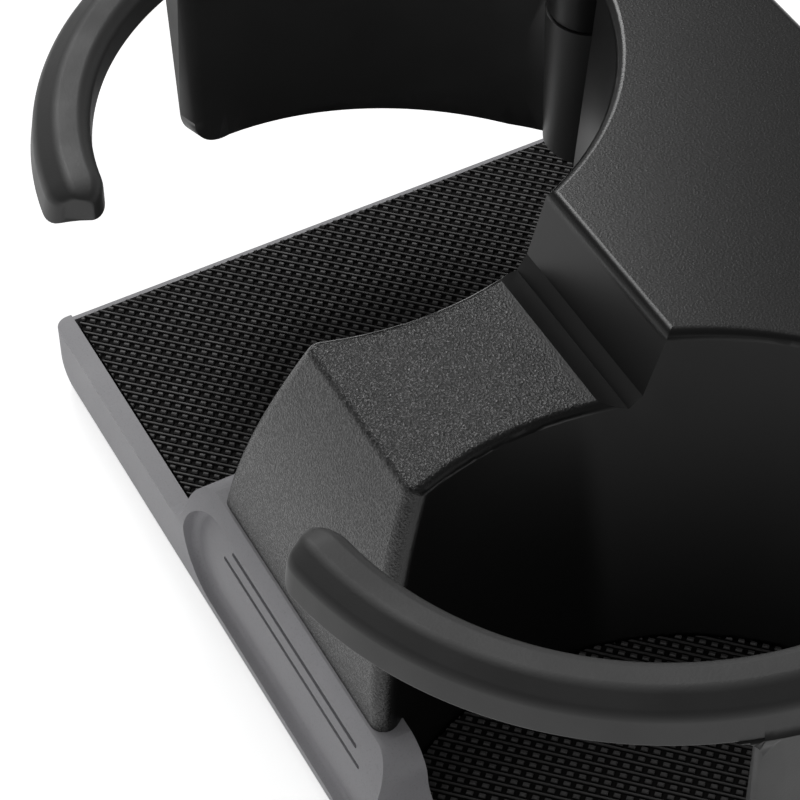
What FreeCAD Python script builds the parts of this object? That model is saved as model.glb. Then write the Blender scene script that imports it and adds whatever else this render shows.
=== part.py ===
import FreeCAD, Part
import math
import os
import Sketcher

# Pull-out double cup holder of a car console.
# X runs along the front from left to right, Y from the front rail to the back, Z up.
# The origin lies on the plane that the runners stand on, midway between the two cup axes.
# Lengths are in millimetres and angles in degrees.

SIZES = [
    # cups
    ("cup_spacing", 94.0, "distance between the two cup axes"),
    ("cup_floor_radius", 34.0, "cup wall radius at the mat"),
    ("cup_rim_radius", 38.2, "cup wall radius at the top of the deck"),
    ("mat_top", 9.0, "height of the mats above the standing plane"),
    ("mat_thick", 2.0, "thickness of a mat"),
    ("mat_gap", 0.2, "gap round a mat"),
    # upper body
    ("deck_height", 42.7, "top of the deck above the mats"),
    ("deck_thick", 2.6, "thickness of the deck"),
    ("deck_front", 15.2, "front edge of the deck behind the cup axes"),
    ("deck_behind", 13.6, "rear edge of the deck behind the hinge axes"),
    ("deck_beside", 14.3, "end of the deck beyond a hinge axis"),
    ("deck_corner", 7.0, "radius of the rear corners of the deck"),
    ("flange_depth", 9.7, "depth of the flange round the back of the deck"),
    ("step_height", 8.2, "height of the step from the platform to the deck"),
    ("platform_front", 13.8, "front edge of the platform ahead of the cup axes"),
    ("valley_front", 8.4, "front edge of the valley behind the cup axes"),
    ("valley_middle", 11.2, "bottom of the valley behind the cup axes"),
    ("valley_depth", 1.2, "depth of the valley below the platform"),
    ("step_lean", 2.6, "how far the step up to the deck leans back"),
    ("block_front", 22.0, "foot of the slanted front ahead of the cup axes"),
    ("front_bow", 80.0, "radius of the bowed slanted front"),
    ("ledge_front", 18.4, "front of the foot that stands behind the grip"),
    ("core_half_width", 38.7, "half width of the walls between the wings"),
    ("wall", 2.5, "wall thickness of the upper body"),
    ("block_round", 1.6, "radius of the block's upright front edges"),
    ("platform_round", 1.1, "radius of the edges round the platform"),
    ("deck_round", 1.1, "radius of the edges of the deck"),
    # hinges of the wings
    ("pivot_x", 43.7, "hinge axis from the middle"),
    ("pivot_behind", 4.6, "hinge axis behind the inner edge of the arms"),
    ("swing", 38.1, "angle that a wing swings out"),
    ("boss_radius", 5.2, "radius of the pin boss under the deck"),
    ("boss_drop", 7.7, "underside of the pin boss below the top of the deck"),
    ("boss_cover", 2.1, "top of the pin boss below the top of the deck"),
    ("pin_radius", 2.0, "radius of a hinge pin"),
    ("pin_play", 0.05, "radial play of a barrel on its pin"),
    ("pin_tail", 1.6, "length of pin below the barrel"),
    ("clip_radius", 3.4, "outer radius of a retaining clip"),
    ("clip_thick", 0.8, "thickness of a retaining clip"),
    ("clip_groove", 0.4, "depth of the clip groove in a pin"),
    ("face_gap", 0.2, "gap between faces that slide on each other"),
    # wings
    ("arm_radius", 35.0, "inner radius of a wing's arm"),
    ("arm_width", 6.3, "width of a wing's arm"),
    ("arm_height", 4.3, "height of a wing's arm"),
    ("arm_rise", 10.3, "top of the arms above the deck"),
    ("arm_bevel", 2.2, "bevel along the outer top edge of an arm"),
    ("arm_round", 1.3, "radius of the inner top edge of an arm"),
    ("tip_outer", 3.0, "plan radius of the tip's outer corner"),
    ("tip_inner", 2.0, "plan radius of the tip's inner corner"),
    ("arm_start", -47.5, "angle of an arm's free end, wing swung out"),
    ("arm_end", 71.0, "angle of an arm's rear end, wing swung out"),
    ("skirt_start", 20.3, "angle of the skirt's front edge, wing swung out"),
    ("skirt_thick", 2.5, "thickness of a wing's skirt"),
    ("skirt_draft", 0.8, "how far the skirt leans in from top to bottom"),
    ("skirt_room", 5.1, "top of the skirt below the top of the deck"),
    ("skirt_front_low", 20.3, "lower edge of the skirt at its front, above the mats"),
    ("skirt_corner", 4.5, "radius of the skirt's lower front corner"),
    ("skirt_level", 5.6, "length of the level lower edge behind the skirt's front"),
    ("skirt_neck", 2.5, "radius where the skirt's front edge meets the arm"),
    ("barrel_radius", 5.5, "radius of a hinge barrel"),
    ("barrel_bottom", 15.0, "lower end of a hinge barrel above the mats"),
    ("finger_length", 9.8, "length of a stop finger from the hinge axis"),
    ("finger_half_width", 2.0, "half width of a stop finger"),
    ("finger_height", 4.6, "height of a stop finger"),
    ("buffer_radius", 2.2, "radius of a rubber stop buffer"),
    ("buffer_stud", 1.1, "radius of the stud in a stop buffer"),
    ("buffer_reach", 9.0, "distance of a buffer along the stop finger"),
    ("spring_radius", 3.5, "mean radius of a wing spring"),
    ("spring_wire", 0.35, "wire radius of a wing spring"),
    ("spring_pitch", 1.05, "pitch of a wing spring"),
    ("spring_turns", 5.0, "turns of a wing spring"),
    ("spring_room", 0.35, "room round a wing spring"),
    # tray and front rail
    ("tray_half_width", 60.4, "half width of the tray"),
    ("tray_behind", 2.0, "rear edge of the tray behind the deck"),
    ("tray_corner", 1.8, "radius of the rear corners of the tray"),
    ("floor_thick", 2.5, "thickness of the tray floor"),
    ("lip", 0.6, "width of the lip round the tray"),
    ("lip_drop", 0.4, "how far the lip lies below the mats"),
    ("rail_back", 23.0, "rear face of the front rail ahead of the cup axes"),
    ("rail_front", 25.4, "front edge of the rail ahead of the cup axes"),
    ("rail_foot", 25.6, "lower front edge of the rail ahead of the cup axes"),
    ("rail_end_radius", 4.2, "radius of the rail's lower corners"),
    ("grip_front", 22.3, "front edge of the grip's top ahead of the cup axes"),
    ("grip_height", 8.0, "top of the grip above the mats"),
    ("grip_half_top", 19.5, "half width of the grip at its top"),
    ("grip_half_foot", 26.5, "half width of the grip at its foot"),
    ("grip_bow", 15.0, "radius of the grip's bowed front"),
    ("recess_bow", 32.0, "radius of the bowed bottom of the finger recess"),
    ("recess_round", 0.9, "radius round the bottom of the finger recess"),
    ("recess_half_length", 23.0, "half length of the finger recess"),
    ("recess_top", 6.2, "upper edge of the finger recess above the mats"),
    ("recess_bottom", -6.2, "lower edge of the finger recess above the mats"),
    ("recess_depth", 1.5, "depth of the finger recess"),
    ("groove_half_length", 15.0, "half length of the middle finger groove"),
    ("groove_step", 1.4, "change of half length from groove to groove"),
    ("groove_spacing", 1.75, "distance between the finger grooves"),
    ("groove_width", 0.5, "width of a finger groove"),
    ("groove_depth", 0.4, "depth of a finger groove"),
    ("groove_height", 2.4, "middle finger groove above the mats"),
    # mats
    ("mat_front", 22.7, "front edge of a mat ahead of the cup axes"),
    ("mat_back", 46.5, "rear edge of a mat behind the cup axes"),
    # fasteners, runners and striker
    ("screw_radius", 1.45, "radius of a screw's shank"),
    ("screw_play", 0.05, "radial play of a shank in its hole"),
    ("screw_head_radius", 2.8, "radius of a screw's head"),
    ("screw_head_height", 1.6, "height of a screw's head"),
    ("screw_depth", 10.0, "depth of a screw in the upper body"),
    ("column_radius", 3.4, "radius of a screw column"),
    ("column_front_y", -5.0, "front screw column from the cup axes"),
    ("column_middle_y", 28.0, "middle screw column behind the cup axes"),
    ("column_rear_inset", 7.8, "rear screw columns ahead of the deck's rear edge"),
    ("column_rear_x", 27.0, "rear screw columns from the middle"),
    ("runner_inset", 8.4, "middle of a runner in from the side of the tray"),
    ("runner_screw_inset", 1.0, "runner screws in from the middle of a runner"),
    ("runner_half_width", 4.0, "half width of a runner"),
    ("runner_front", 14.0, "front end of a runner ahead of the cup axes"),
    ("runner_slot", 1.4, "half height of the slot along a runner"),
    ("runner_slot_depth", 2.0, "depth of the slot along a runner"),
    ("runner_screw_first", -7.0, "first runner screw from the cup axes"),
    ("runner_screw_step", 27.0, "distance between the runner screws"),
    ("runner_screw_depth", 2.3, "depth of a runner screw in the tray"),
    ("striker_half_width", 9.0, "half width of the latch striker"),
    ("striker_length", 15.0, "length of the latch striker"),
    ("striker_thick", 2.0, "thickness of the striker's plate"),
    ("striker_beyond", 1.3, "rear end of the striker behind the tray"),
    ("striker_screw_x", 5.6, "striker screws from the middle"),
    ("hook_radius", 2.2, "radius of the striker's pin"),
]

doc = FreeCAD.newDocument("ConsoleCupHolder")
sheet = doc.addObject("Spreadsheet::Sheet", "Sizes")
for row, (alias, number, note) in enumerate(SIZES, start=1):
    sheet.set("A%d" % row, alias)
    sheet.set("B%d" % row, str(number))
    sheet.setAlias("B%d" % row, alias)
    sheet.set("C%d" % row, note)
doc.recompute()


def size(expression):
    """Return the value of an expression of named sizes."""
    result = doc.Sizes.evalExpression(full(expression))
    return float(getattr(result, "Value", result))


def full(expression):
    """Write an expression of bare size names as FreeCAD reads it from any object."""
    text = str(expression)
    words = []
    word = ""
    for letter in text + " ":
        if letter.isalnum() or letter in "_.":
            word += letter
            continue
        if word in WORKED_OUT:
            word = "(%s)" % full(WORKED_OUT[word])
        words.append("Sizes." + word if word in NAMES else word)
        words.append(letter)
        word = ""
    return "".join(words).strip()


NAMES = {alias for alias, number, note in SIZES}

# Places that follow from other sizes, so that the pieces stay together when one changes.
WORKED_OUT = {
    "platform_height": "deck_height - step_height",
    "boss_bottom": "deck_height - boss_drop",
    "boss_top": "deck_height - boss_cover",
    "arm_top": "deck_height + arm_rise",
    "skirt_top": "deck_height - skirt_room",
    "pivot_y": "arm_radius + pivot_behind",
    "deck_back": "pivot_y + deck_behind",
    "deck_half_width": "pivot_x + deck_beside",
    "tray_back": "deck_back + tray_behind",
    "mat_edge": "tray_half_width - lip - mat_gap",
    "runner_x": "tray_half_width - runner_inset",
    "runner_screw_x": "tray_half_width - runner_inset - runner_screw_inset",
    "column_rear_y": "deck_back - column_rear_inset",
    "striker_back": "tray_back + striker_beyond",
}


def bind(thing, prop, expression):
    thing.setExpression(prop, full(expression))


# Values worked out from the named sizes, as expressions.
CUP_X = "(cup_spacing / 2)"
FLOOR_TOP = "(mat_top - mat_thick)"
FLOOR_BOTTOM = "(mat_top - mat_thick - floor_thick)"
DECK_TOP = "(mat_top + deck_height)"
DECK_BOTTOM = "(mat_top + deck_height - deck_thick)"
CUP_SLOPE = "((cup_rim_radius - cup_floor_radius) / deck_height)"
GRIP_TOP = "(mat_top + grip_height)"
BOSS_BOTTOM = "(mat_top + boss_bottom)"
BARREL_TOP = "(mat_top + boss_bottom - face_gap)"
BARREL_BOTTOM = "(mat_top + barrel_bottom)"
ARM_TOP = "(mat_top + arm_top)"
ARM_BOTTOM = "(mat_top + arm_top - arm_height)"
ARM_OUTER = "(arm_radius + arm_width)"
BARREL_DX = "(pivot_x - cup_spacing / 2)"
REST_X = "(pivot_x - (%s) * cos(swing * 1deg) - pivot_y * sin(swing * 1deg))" % BARREL_DX
REST_Y = "(pivot_y + (%s) * sin(swing * 1deg) - pivot_y * cos(swing * 1deg))" % BARREL_DX
SPRING_BOTTOM = "(%s - (spring_turns + 1) * spring_pitch)" % BARREL_TOP


def number(expression):
    return size(expression)


def outline(sketch, points):
    """Draw a closed outline through points given as (x, y) or (x, y, radius).

    The radius bends the edge that starts at that point into an arc: positive bows it
    to the right of its direction, negative to the left.
    """
    places = [FreeCAD.Vector(number(p[0]), number(p[1]), 0) for p in points]
    first = sketch.GeometryCount
    ends = []
    for index, point in enumerate(points):
        start = places[index]
        end = places[(index + 1) % len(points)]
        if len(point) == 3:
            radius = number(point[2])
            sketch.addGeometry(arc_between(start, end, radius), False)
            ends.append((2, 1) if radius < 0 else (1, 2))
        else:
            sketch.addGeometry(Part.LineSegment(start, end), False)
            ends.append((1, 2))
    for index, point in enumerate(points):
        here = first + index
        following = first + (index + 1) % len(points)
        sketch.addConstraint(Sketcher.Constraint(
            "Coincident", here, ends[index][1], following, ends[(index + 1) % len(points)][0]))
        lock(sketch, here, ends[index][0], point[0], point[1])
        if len(point) == 3:
            held = sketch.addConstraint(Sketcher.Constraint(
                "Radius", here, abs(number(point[2]))))
            bind(sketch, "Constraints[%d]" % held, "abs(%s)" % point[2])


def arc_between(start, end, radius):
    """Return the short arc from start to end that bows right for a positive radius."""
    chord = end - start
    half = chord.Length / 2
    across = FreeCAD.Vector(chord.y, -chord.x, 0).normalize()
    side = 1 if radius > 0 else -1
    reach = math.sqrt(max(radius ** 2 - half ** 2, 0))
    middle = (start + end) / 2 + across * side * (abs(radius) - reach)
    return Part.Arc(start, middle, end)


def lock(sketch, index, end, x, y):
    """Hold one end of an edge at a place given by two expressions."""
    for kind, expression in (("DistanceX", x), ("DistanceY", y)):
        held = sketch.addConstraint(Sketcher.Constraint(
            kind, -1, 1, index, end, number(expression)))
        bind(sketch, "Constraints[%d]" % held, expression)


def circle(sketch, x, y, radius):
    """Draw a circle about a place given by two expressions."""
    centre = FreeCAD.Vector(number(x), number(y), 0)
    index = sketch.addGeometry(Part.Circle(centre, FreeCAD.Vector(0, 0, 1), number(radius)), False)
    lock(sketch, index, 3, x, y)
    held = sketch.addConstraint(Sketcher.Constraint("Radius", index, number(radius)))
    bind(sketch, "Constraints[%d]" % held, radius)


def rectangle(sketch, x1, y1, x2, y2):
    outline(sketch, [(x1, y1), (x2, y1), (x2, y2), (x1, y2)])


def new_body(name):
    return doc.addObject("PartDesign::Body", name)


def sketch_on(body, name, plane, height="0", turn=None):
    """Make a sketch on one of a body's own planes, raised by height or turned about Z."""
    sketch = body.newObject("Sketcher::SketchObject", name)
    role = plane + "_Plane"
    origin = [item for item in body.Origin.OriginFeatures if item.Role == role][0]
    sketch.AttachmentSupport = (origin, [""])
    sketch.MapMode = "FlatFace"
    if turn is not None:
        upright = FreeCAD.Vector(0, 0, 1) if plane == "XY" else FreeCAD.Vector(0, 1, 0)
        sketch.AttachmentOffset = FreeCAD.Placement(
            FreeCAD.Vector(0, 0, 0), FreeCAD.Rotation(upright, number(turn)))
        bind(sketch, "AttachmentOffset.Rotation.Angle", turn)
    if str(height) != "0":
        bind(sketch, "AttachmentOffset.Base.z", height)
    return sketch


def pad(body, sketch, length, name, middle=False):
    """Pad a sketch, to both sides of its plane where middle is true."""
    feature = body.newObject("PartDesign::Pad", name)
    feature.Profile = sketch
    if middle:
        feature.SideType = "Symmetric"
    bind(feature, "Length", length)
    doc.recompute()
    return feature


def pocket(body, sketch, name, length=None, reverse=False, middle=False):
    """Cut a sketch out of a body, right through where no length is given."""
    feature = body.newObject("PartDesign::Pocket", name)
    feature.Profile = sketch
    feature.Reversed = reverse
    if middle:
        feature.SideType = "Symmetric"
    if length is None:
        feature.Type = "ThroughAll"
    else:
        bind(feature, "Length", length)
    doc.recompute()
    return feature


def revolve(body, sketch, name, angle="360"):
    """Turn a sketch about its own vertical axis."""
    feature = body.newObject("PartDesign::Revolution", name)
    feature.Profile = sketch
    feature.ReferenceAxis = (sketch, ["V_Axis"])
    if angle == "360":
        feature.Angle = 360
    else:
        bind(feature, "Angle", angle)
    doc.recompute()
    return feature


def edges_where(shape, test):
    """Name the edges of a shape that a test of their middle, ends and box picks."""
    names = []
    for index, edge in enumerate(shape.Edges, start=1):
        middle = edge.valueAt((edge.FirstParameter + edge.LastParameter) / 2)
        if test(edge, middle):
            names.append("Edge%d" % index)
    return names


def round_body(body, test, radius, name):
    """Round the edges of a body's last feature that a test picks."""
    base = body.Tip
    names = edges_where(base.Shape, test)
    if not names:
        raise RuntimeError("no edge to round for " + name)
    feature = body.newObject("PartDesign::Fillet", name)
    feature.Base = (base, names)
    bind(feature, "Radius", radius)
    doc.recompute()
    return feature


def near(value, expression, reach=0.05):
    return abs(value - number(expression)) < reach


# Part features for the pieces that are joined and cut as whole solids.

def extrude(name, plane, points, low, high):
    """Extrude an outline drawn on a plane from low to high along the plane's normal."""
    turns = {
        "XY": FreeCAD.Rotation(),
        "XZ": FreeCAD.Rotation(FreeCAD.Vector(1, 0, 0), 90),
        "YZ": FreeCAD.Rotation(FreeCAD.Vector(1, 1, 1), 120),
    }
    sketch = doc.addObject("Sketcher::SketchObject", name + "_outline")
    sketch.Placement = FreeCAD.Placement(FreeCAD.Vector(0, 0, 0), turns[plane])
    outline(sketch, points)
    solid = doc.addObject("Part::Extrusion", name)
    solid.Base = sketch
    solid.DirMode = "Normal"
    solid.Solid = True
    bind(solid, "LengthFwd", high)
    bind(solid, "LengthRev", "0 - (%s)" % low)
    return solid


def block(name, low, high):
    """Make a box between two corners given as expressions."""
    solid = doc.addObject("Part::Box", name)
    for prop, a, b in zip(("Length", "Width", "Height"), low, high):
        bind(solid, prop, "(%s) - (%s)" % (b, a))
    for axis, a in zip("xyz", low):
        bind(solid, "Placement.Base." + axis, a)
    return solid


def cylinder(name, x, y, low, high, radius):
    solid = doc.addObject("Part::Cylinder", name)
    bind(solid, "Radius", radius)
    bind(solid, "Height", "(%s) - (%s)" % (high, low))
    for axis, place in zip("xyz", (x, y, low)):
        bind(solid, "Placement.Base." + axis, place)
    return solid


def join(name, parts):
    solid = doc.addObject("Part::MultiFuse", name)
    solid.Shapes = parts
    solid.Refine = True
    return solid


def cut(name, base, tool):
    solid = doc.addObject("Part::Cut", name)
    solid.Base = base
    solid.Tool = tool
    return solid


def common(name, base, tool):
    solid = doc.addObject("Part::Common", name)
    solid.Base = base
    solid.Tool = tool
    return solid


def round_solid(name, base, test, radius):
    """Round the edges of a solid that a test picks."""
    doc.recompute()
    names = edges_where(base.Shape, test)
    if not names:
        raise RuntimeError("no edge to round for " + name)
    solid = doc.addObject("Part::Fillet", name)
    solid.Base = base
    solid.Edges = [(int(edge[4:]), number(radius), number(radius)) for edge in names]
    return solid


def mirror(source, name):
    """Make the left-hand twin of a right-hand piece."""
    twin = doc.addObject("Part::Mirroring", name)
    twin.Source = source
    twin.Normal = FreeCAD.Vector(1, 0, 0)
    return twin


FINISHED = {}


def finish(thing, name):
    """Give a piece the name of its file."""
    thing.Label = name
    FINISHED[name] = thing
    return thing


def on_cup(edge, middle, slack=0.12):
    """Tell whether an edge runs on one of the conical cup walls."""
    for side in (-1, 1):
        distance = math.hypot(middle.x - side * number(CUP_X), middle.y)
        rise = middle.z - number("mat_top")
        if abs(distance - number("cup_floor_radius") - rise * number(CUP_SLOPE)) < slack:
            return True
    return False


def cup_cones(name, extra):
    """Make the two tapering cup spaces, wider by extra all round."""
    cones = []
    for side, label in ((-1, "left"), (1, "right")):
        cone = doc.addObject("Part::Cone", "%s_%s" % (label, name))
        low = "(%s - 2)" % FLOOR_TOP
        bind(cone, "Radius1", "cup_floor_radius - (mat_thick + 2) * %s + %s" % (CUP_SLOPE, extra))
        bind(cone, "Radius2", "cup_rim_radius + 2 * %s + %s" % (CUP_SLOPE, extra))
        bind(cone, "Height", "%s + 2 - %s" % (DECK_TOP, low))
        bind(cone, "Placement.Base.x", "%d * %s" % (side, CUP_X))
        bind(cone, "Placement.Base.z", low)
        cone.Placement.Rotation = FreeCAD.Rotation(FreeCAD.Vector(0, 0, 1), 90 - 90 * side)
        cones.append(cone)
    return join(name, cones)


def make_upper_body():
    """Deck, valley, platform and hourglass block in one moulding, open underneath."""
    outer = [
        ("0 - ledge_front", FLOOR_TOP),
        ("deck_back", FLOOR_TOP),
        ("deck_back", DECK_TOP),
        ("deck_front", DECK_TOP),
        ("deck_front - step_lean", "mat_top + platform_height + 0.3"),
        ("valley_middle", "mat_top + platform_height - valley_depth"),
        ("valley_front", "mat_top + platform_height"),
        ("0 - platform_front", "mat_top + platform_height", "front_bow"),
        ("0 - block_front", GRIP_TOP),
        ("0 - ledge_front", GRIP_TOP),
    ]
    core = extrude("core_block", "YZ", outer, "0 - core_half_width", "core_half_width")
    cups = cup_cones("cup_space", "0")
    shell = cut("core_walls", core, cups)
    lower = "(mat_top + platform_height - wall)"
    inner = [
        ("wall - ledge_front", "%s - 3" % FLOOR_TOP),
        ("deck_back - wall", "%s - 3" % FLOOR_TOP),
        ("deck_back - wall", DECK_BOTTOM),
        ("deck_front + wall", DECK_BOTTOM),
        ("deck_front - step_lean + wall", "%s - valley_depth" % lower),
        ("valley_middle", "%s - valley_depth" % lower),
        ("valley_front", lower),
        ("wall - platform_front - 0.4", lower),
        ("wall - block_front + 0.9", "%s + wall" % GRIP_TOP),
        ("wall - ledge_front", "%s + 0.4" % GRIP_TOP),
    ]
    room = extrude("core_room", "YZ", inner, "wall - core_half_width", "core_half_width - wall")
    hollow = cut("core_hollow", room, cup_cones("cup_wall_outside", "wall"))
    rounded = round_solid("core_uprights", shell, upright_edge, "block_round")
    rounded = round_solid("core_rounded", rounded, platform_edge, "platform_round")
    walls = cut("core_shell", rounded, hollow)
    plate = make_deck()
    body = join("body_joined", [walls, plate] + make_columns())
    body = cut("body_cleared", body, join("barrel_room", make_barrel_room()))
    body = round_solid("body_rounded", body, deck_edge, "deck_round")
    return finish(body, "upper_body")


def upright_edge(edge, middle):
    """Pick the two edges where the slanted front meets the cup walls."""
    upright = edge.BoundBox.ZLength > number("platform_height - grip_height") * 0.8
    return on_cup(edge, middle, 0.6) and upright and middle.y < -5


def platform_edge(edge, middle):
    """Pick the chain of edges round the front and sides of the platform."""
    level = near(middle.z, "mat_top + platform_height")
    return level and middle.y < number("valley_front") - 0.2


def deck_edge(edge, middle):
    """Pick the visible top edges of the deck."""
    return near(middle.z, DECK_TOP) and (
        on_cup(edge, middle) or near(middle.y, "deck_front") or middle.y > number("deck_back") - 8)


def make_deck():
    """Deck plate behind the cups with its rear flange, stop ribs and pin bosses."""
    plate = block("deck_plate",
                  ("0 - deck_half_width", "cup_rim_radius * 0.8", DECK_BOTTOM),
                  ("deck_half_width", "deck_back", DECK_TOP))
    plate = cut("deck_opened", plate, cup_cones("deck_cups", "0"))
    flange = block("deck_flange",
                   ("0 - deck_half_width", "deck_back - wall", "%s - flange_depth" % DECK_TOP),
                   ("deck_half_width", "deck_back", DECK_TOP))
    deck = join("deck_and_flange", [plate, flange])
    corner = "deck_half_width - 0.01"
    deck = round_solid("deck_cornered", deck, lambda edge, middle: (
        abs(middle.x) > number(corner) and near(middle.y, "deck_back")
        and edge.BoundBox.ZLength > 1), "deck_corner")
    parts = [deck]
    for side, label in ((-1, "left"), (1, "right")):
        x = "%d * pivot_x" % side
        parts.append(cylinder(label + "_pin_boss", x, "pivot_y", BOSS_BOTTOM,
                              "mat_top + boss_top", "boss_radius"))
        low, high = sorted(("%d * (core_half_width - 0.5)" % side,
                            "%d * (pivot_x - finger_half_width - face_gap)" % side), key=number)
        parts.append(block(label + "_open_stop",
                           (low, "pivot_y + barrel_radius + 0.7", "mat_top + skirt_top - 9"),
                           (high, "deck_back - wall / 2", "%s + 0.5" % DECK_BOTTOM)))
        bx, by = buffer_place()
        parts.append(cylinder(label + "_buffer_stud", "%d * %s" % (side, bx), by,
                              "%s - finger_height - 0.5" % BARREL_TOP,
                              "%s + 0.5" % DECK_BOTTOM, "buffer_stud"))
    return join("deck", parts)


def buffer_place():
    """Return where the right buffer stands: beside the stop finger of the wing at rest."""
    away = "(finger_half_width + buffer_radius + face_gap)"
    along = "(90 - swing)"
    x = "(pivot_x + buffer_reach * cos(%s * 1deg) + %s * sin(%s * 1deg))" % (along, away, along)
    y = "(pivot_y + buffer_reach * sin(%s * 1deg) - %s * cos(%s * 1deg))" % (along, away, along)
    return x, y


def column_places():
    """List where the screw columns stand."""
    return [("0", "column_front_y"), ("0", "column_middle_y"),
            ("0 - column_rear_x", "column_rear_y"), ("column_rear_x", "column_rear_y")]


def make_columns():
    """Screw columns that hang from the top of the upper body to the tray floor."""
    columns = []
    for index, (x, y) in enumerate(column_places(), start=1):
        top = "mat_top + platform_height - wall / 2" if index == 1 else "%s + 1" % DECK_BOTTOM
        column = cylinder("column_%d" % index, x, y, FLOOR_TOP, top, "column_radius")
        hole = cylinder("column_hole_%d" % index, x, y, "%s - 1" % FLOOR_TOP,
                        "%s + screw_depth" % FLOOR_TOP, "screw_radius + screw_play")
        columns.append(cut("column_bored_%d" % index, column, hole))
    return columns


def make_barrel_room():
    """Spaces that the hinge barrels turn in and the holes that their pins sit in."""
    spaces = []
    for side, label in ((-1, "left"), (1, "right")):
        x = "%d * pivot_x" % side
        spaces.append(cylinder(label + "_barrel_room", x, "pivot_y", "%s - 1" % FLOOR_TOP,
                               BOSS_BOTTOM, "barrel_radius + 0.5"))
        spaces.append(cylinder(label + "_pin_hole", x, "pivot_y", "%s - 1" % BOSS_BOTTOM,
                               "mat_top + boss_top - 0.8", "pin_radius"))
    return spaces


def make_tray():
    """Grey tray with its front rail and raised grip, in one moulding."""
    body = new_body("TrayBody")
    slab = sketch_on(body, "TrayPlan", "XY", FLOOR_BOTTOM)
    rectangle(slab, "0 - tray_half_width", "0 - rail_back - 0.5", "tray_half_width", "tray_back")
    pad(body, slab, "mat_thick + floor_thick - lip_drop", "TraySlab")
    well = sketch_on(body, "TrayWell", "XY", FLOOR_TOP)
    rectangle(well, "lip - tray_half_width", "0 - rail_back", "tray_half_width - lip",
              "tray_back - lip")
    pocket(body, well, "TrayFloor", "mat_thick + 5", reverse=True)
    rail = sketch_on(body, "RailSection", "YZ")
    outline(rail, [
        ("0 - rail_foot", "0"),
        ("0.5 - rail_back", "0"),
        ("0.5 - rail_back", FLOOR_BOTTOM),
        ("0 - rail_back", FLOOR_BOTTOM),
        ("0 - rail_back", "mat_top - lip_drop"),
        ("0 - rail_back", "mat_top"),
        ("0 - ledge_front - face_gap", "mat_top"),
        ("0 - ledge_front - face_gap", GRIP_TOP),
        ("0 - grip_front", GRIP_TOP, "grip_bow"),
        ("0 - rail_front", "mat_top"),
    ])
    pad(body, rail, "2 * tray_half_width", "Rail", middle=True)
    foot = sketch_on(body, "GripFootPlan", "XY", "%s - 0.5" % FLOOR_TOP)
    rectangle(foot, "0 - grip_half_foot", "0 - rail_back - 0.5", "grip_half_foot",
              "0 - ledge_front - face_gap")
    pad(body, foot, "mat_thick + 0.5", "GripFoot")
    for side, label in ((-1, "Left"), (1, "Right")):
        over = sketch_on(body, label + "OverRail", "XZ")
        reach = "(grip_half_foot - grip_half_top) / 2"
        bend = "((%s) ^ 2 + (grip_height / 2) ^ 2) / (2 * (%s))" % (reach, reach)
        middle = "%d * (grip_half_foot + grip_half_top) / 2" % side
        outline(over, [
            ("%d * grip_half_foot" % side, "mat_top", "%d * (0 - %s)" % (side, bend)),
            (middle, "mat_top + grip_height / 2", "%d * %s" % (side, bend)),
            ("%d * grip_half_top" % side, GRIP_TOP),
            ("%d * grip_half_top" % side, "%s + 5" % GRIP_TOP),
            ("%d * (tray_half_width + 5)" % side, "%s + 5" % GRIP_TOP),
            ("%d * (tray_half_width + 5)" % side, "mat_top"),
        ])
        pocket(body, over, label + "Shoulder", "2 * tray_back", middle=True)
    for index, (x, y) in enumerate(column_places(), start=1):
        drill(body, "BodyScrewHole%d" % index, x, y)
    for side, label in ((-1, "Left"), (1, "Right")):
        for index in range(3):
            y = "runner_screw_first + %d * runner_screw_step" % index
            drill(body, "%sRunnerHole%d" % (label, index + 1), "%d * runner_screw_x" % side, y)
        drill(body, label + "StrikerHole", "%d * striker_screw_x" % side, striker_screw_y())
    round_body(body, lambda edge, middle: (
        near(abs(middle.x), "tray_half_width") and near(middle.z, "0")
        and edge.BoundBox.YLength > 1), "rail_end_radius", "RailLowerCorners")
    round_body(body, lambda edge, middle: (
        near(abs(middle.x), "tray_half_width") and middle.y < number("0 - rail_back - 0.6")
        and edge.BoundBox.ZLength > 2), "1.8", "RailFrontCorners")
    round_body(body, lambda edge, middle: (
        near(abs(middle.x), "tray_half_width") and near(middle.y, "tray_back")
        and edge.BoundBox.ZLength > 2), "tray_corner", "TrayRearCorners")
    scoop = bowed_face("recess_front", "recess_depth")
    oval = extrude("recess_oval", "XZ", slot_points(
        "recess_half_length", "mat_top + recess_bottom", "mat_top + recess_top"),
        "0", "2 * rail_foot")
    tool = round_solid("recess_tool", common("recess_sharp", scoop, oval), lambda edge, middle: (
        middle.y > number("recess_depth - rail_foot - 0.3")), "recess_round")
    tray = cut("tray_recessed", body, tool)
    tray = cut("tray_grooved", tray, make_grooves())
    return finish(tray, "grey_tray")


def bowed_face(name, depth):
    """Make the space ahead of the rail's bowed front, cut in to a depth."""
    return extrude(name, "YZ", [
        ("0 - rail_foot - 4", "-1"),
        ("(%s) - rail_foot" % depth, "-1", "0 - recess_bow"),
        ("(%s) - grip_front + 0.3" % depth, GRIP_TOP),
        ("0 - rail_foot - 4", GRIP_TOP),
    ], "0 - tray_half_width", "tray_half_width")


def slot_points(half_length, low, high):
    """Outline of a slot with round ends, lying along the first axis."""
    radius = "(%s - (%s)) / 2" % (high, low)
    return [
        ("%s - %s" % (radius, half_length), low),
        ("%s - %s" % (half_length, radius), low, radius + " * 1.0001"),
        ("%s - %s" % (half_length, radius), high),
        ("%s - %s" % (radius, half_length), high, radius + " * 1.0001"),
    ]


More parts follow.
